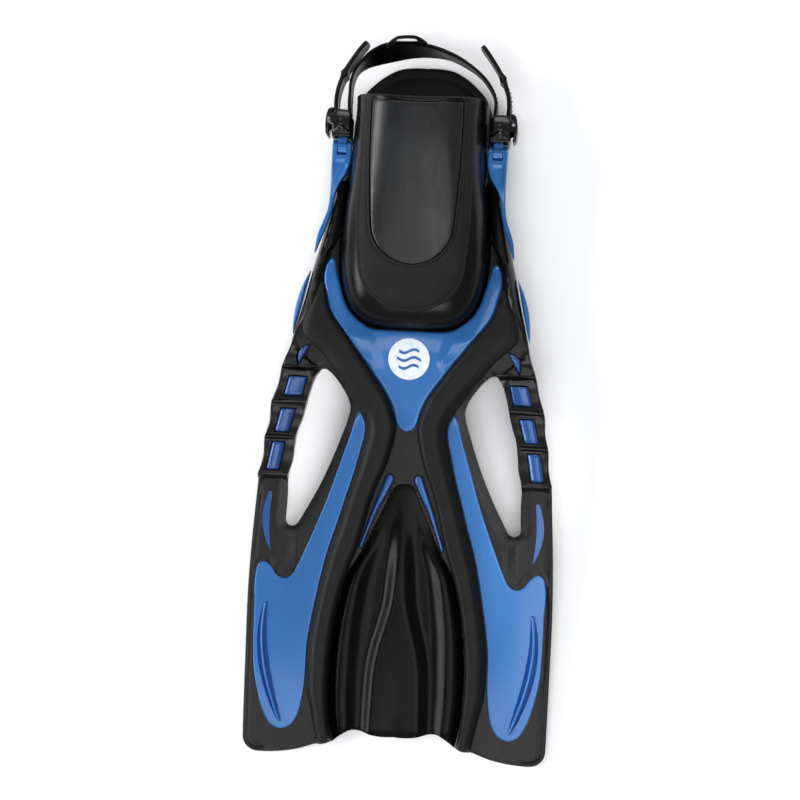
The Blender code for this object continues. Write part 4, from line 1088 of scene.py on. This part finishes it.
def strap_half_path(step):
    """Middle line of the right half of the strap: the free tail, round the roller, then the heel loop."""
    reach = ROLLER_RADIUS + 0.4 + STRAP_THICKNESS / 2
    tail = chain(((46, 84), (55, 72.5), (63.4, 59.5), (68.4, 46), (ROLLER_X + reach, 32)),
                 ((ROLLER_X + reach, ROLLER_Y),), step=step)
    wrap = arc((ROLLER_X, ROLLER_Y), reach, 0, -180, 20)
    loop = curve((ROLLER_X - reach, ROLLER_Y), (ROLLER_X - reach + 0.3, 27), (58.8, 40), (56.6, 52),
                 (51, 62.5), (41, 71.5), (28, 78.4), (14, 82), (0, BAND_Y), step=step)
    return tail + wrap + loop + [(0, BAND_Y)]


def band_lean(x, z):
    """How far the soft band leans outwards behind the heel; its left side has been pushed out further."""
    return (0.10 - 0.0075 * np.clip(x, -34, 20)) * z


def band_shift(y):
    """How far the loose band has slid towards the left side of the fin."""
    return -7.0 * ramp(y, 38, 78)


def make_strap():
    """The band swept along its path, with rounded edges, a raised border and ratchet teeth on its tails."""
    right = strap_half_path(0.8)
    path = np.array(right + [(-x, y) for x, y in reversed(right[:-1])])
    length = np.concatenate([[0], np.cumsum(np.linalg.norm(np.diff(path, axis=0), axis=1))])
    from_end = np.minimum(length, length[-1] - length)
    path[:, 0] += band_shift(path[:, 1]) * ramp(from_end, 92, 112)
    direction = np.gradient(path, axis=0)
    direction /= np.linalg.norm(direction, axis=1)[:, None]
    normal = np.stack([-direction[:, 1], direction[:, 0]], 1)
    in_loop = ramp(from_end, 70, 90)
    heel = (1 - ramp(np.abs(path[:, 0]), 22, 48)) * in_loop
    tail = ramp(path[:, 1], 36, 90) * (1 - ramp(from_end, 60, 75))
    heights = STRAP_HALF + (HEEL_BAND_HALF - STRAP_HALF) * heel
    heights = heights * (0.45 + 0.55 * quarter_round(from_end / 5.0))
    half = STRAP_THICKNESS / 2 * (0.75 + 0.25 * heel) + 0.5 * (1 - ramp(from_end, 58, 66))
    half += 1.5 * hump(from_end, 31, 2.2)
    angles = 2 * math.pi * np.arange(28) / 28
    c = np.copysign(np.abs(np.cos(angles)) ** (2 / 2.6), np.cos(angles))
    s = np.copysign(np.abs(np.sin(angles)) ** (2 / 9.0), np.sin(angles))
    border = 0.45 * hump(np.abs(s), 0.9, 0.12)
    flat = 1 - ramp(np.abs(s), 0.62, 0.7)
    tooth = (from_end / 3.4) % 1.0
    toothed = ramp(from_end, 34, 35) * (1 - ramp(from_end, 58, 60))
    inner_teeth = ramp(from_end, 92, 96) * (1 - ramp(from_end, 128, 136))
    spread = in_loop * (1 - ramp(np.abs(path[:, 0]), 40, 57))
    away = normal * np.sign((normal * (path - np.array([0, 30]))).sum(1))[:, None]
    points = []
    for i, (place, offset) in enumerate(zip(path, normal)):
        z = heights[i] * s
        teeth = np.where(c < 0, 1.5 * toothed[i], 1.2 * inner_teeth[i]) * (1 - tooth[i])
        bulge = half[i] + border + flat * teeth
        lean = spread[i] * band_lean(place[0], z)
        plan = place - np.outer(c * bulge, offset) + np.outer(lean, away[i])
        points.append(np.column_stack([plan, z + tail[i] * TAIL_RISE]))
    n = len(angles)
    faces = net(len(path), n, closed=True)
    faces.append(tuple(range(n))[::-1])
    faces.append(tuple(n * (len(path) - 1) + k for k in range(n)))
    add_piece("strap_skin", np.vstack(points), faces, "strap", body="strap_assembly", place=on_strap,
              stands_for=["heel_strap"], sharp=45)


def make_tab():
    low = HEEL_BAND_HALF - 1.5
    outer = chain(((-TAB_HALF, low), (TAB_HALF, low)),
                  ((TAB_HALF - 3, TAB_TOP - 8), (TAB_HALF - 9, TAB_TOP - 1.4), (0, TAB_TOP + 0.3),
                   (9 - TAB_HALF, TAB_TOP - 1.4), (3 - TAB_HALF, TAB_TOP - 8), (-TAB_HALF, low)), step=1.2)
    hole = chain(((8, 17.5), (8.4, 20), (6, 24.2), (0, 25.4), (-6, 24.2), (-8.4, 20), (-8, 17.5)),
                 ((0, 17.1), (8, 17.5)), step=1)
    thick = TAB_THICKNESS / 2

    def face(x, y, d):
        return thick - rounded(d, 1.3, 1.2) - 0.35 * ramp(d, 1.6, 2.4)

    points, faces = plate_mesh(outer, lambda x, y, d: -face(x, y, d), face, holes=[hole], grid=1.3,
                               rows=(0.08, 0.4, 0.9, 1.3), arched=False)
    lean = math.atan(0.11)
    x, y, z = points.T
    band = np.interp(np.abs(x + TAB_X - band_shift(BAND_Y)), (0, 14, 28, 39), (BAND_Y, 82, 78.4, 73)) - 0.3
    up = y - HEEL_BAND_HALF
    stood = np.stack([x + TAB_X, band + HEEL_BAND_HALF * 0.17 + up * math.sin(lean) - z * math.cos(lean),
                      HEEL_BAND_HALF + up * math.cos(lean) + z * math.sin(lean)], 1)
    add_piece("tab_skin", stood, faces, "strap", body="strap_assembly", place=on_strap,
              stands_for=["pull_tab"])


def finish_cad_nodes():
    """Materials for the small metal parts that stay as CAD solids."""
    for name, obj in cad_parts.items():
        if any(word in name for word in ("pin_", "axle", "spring", "roller")):
            for slot in obj.material_slots:
                slot.material = LOOKS["steel"][1]


# ---------------------------------------------------------------- floor, light and camera

def make_stage():
    mesh = bpy.data.meshes.new("floor")
    mesh.from_pydata([(-6, -6, 0), (6, -6, 0), (6, 6, 0), (-6, 6, 0)], [], [(0, 1, 2, 3)])
    mesh.materials.append(floor_paper("studio_floor"))
    floor = bpy.data.objects.new("floor", mesh)
    bpy.context.scene.collection.objects.link(floor)


def add_light(name, place, target, size, power):
    lamp = bpy.data.lights.new(name, "AREA")
    lamp.shape = "RECTANGLE"
    lamp.size, lamp.size_y = size
    lamp.energy = power
    made = bpy.data.objects.new(name, lamp)
    made.location = place
    made.rotation_euler = (Vector(target) - Vector(place)).to_track_quat("-Z", "Y").to_euler()
    bpy.context.scene.collection.objects.link(made)


def make_lights():
    add_light("soft_low_left", (-0.45, -1.2, 3.0), (-0.45, -1.2, 0), (0.9, 0.5), 3.8)
    add_light("soft_crest", (-0.24, -0.08, 3.0), (-0.24, -0.08, 0), (0.55, 0.4), 2.4)
    add_light("soft_instep", (-1.05, -0.78, 3.0), (-1.05, -0.78, 0), (0.36, 0.8), 4.6)
    add_light("wash_right", (0.95, -0.65, 3.0), (0.95, -0.65, 0), (2.0, 1.7), 30)
    add_light("bank_left", (-2.3, 0.0, 1.2), (0, 0, 0), (2.6, 0.8), 62)
    add_light("bank_heel", (0.1, 2.3, 1.5), (0, 0, 0), (2.2, 0.9), 28)
    add_light("bank_blade", (0.2, -2.4, 1.9), (0, 0, 0), (2.0, 0.8), 26)
    world = bpy.data.worlds.new("studio")
    world.use_nodes = True
    world.node_tree.nodes["Background"].inputs["Color"].default_value = (0.93, 0.95, 1.0, 1)
    world.node_tree.nodes["Background"].inputs["Strength"].default_value = 0.42
    bpy.context.scene.world = world
    bpy.context.scene.view_settings.view_transform = "Standard"


def make_camera():
    """Nearly straight down, a little from the right, with the fin's axis leaning right in the picture."""
    lens = bpy.data.cameras.new("photo_camera")
    lens.lens = 122.7
    lens.sensor_width = 36
    made = bpy.data.objects.new("photo_camera", lens)
    made.location = (0.1927, -0.0727, 2.2)
    turn = Matrix.Rotation(math.radians(2.92), 3, "Z")
    turn = turn @ Matrix.Rotation(math.radians(5.136), 3, "Y") @ Matrix.Rotation(math.radians(2.139), 3, "X")
    made.rotation_euler = turn.to_euler()
    bpy.context.scene.collection.objects.link(made)
    bpy.context.scene.camera = made


make_frame()
make_rails()
make_blade_panels()
make_crest()
make_membrane()
make_inserts()
make_pocket()
make_instep()
make_sole()
make_arms()
make_buckles()
make_levers()
make_strap()
make_tab()
finish_cad_nodes()
make_stage()
make_lights()
make_camera()
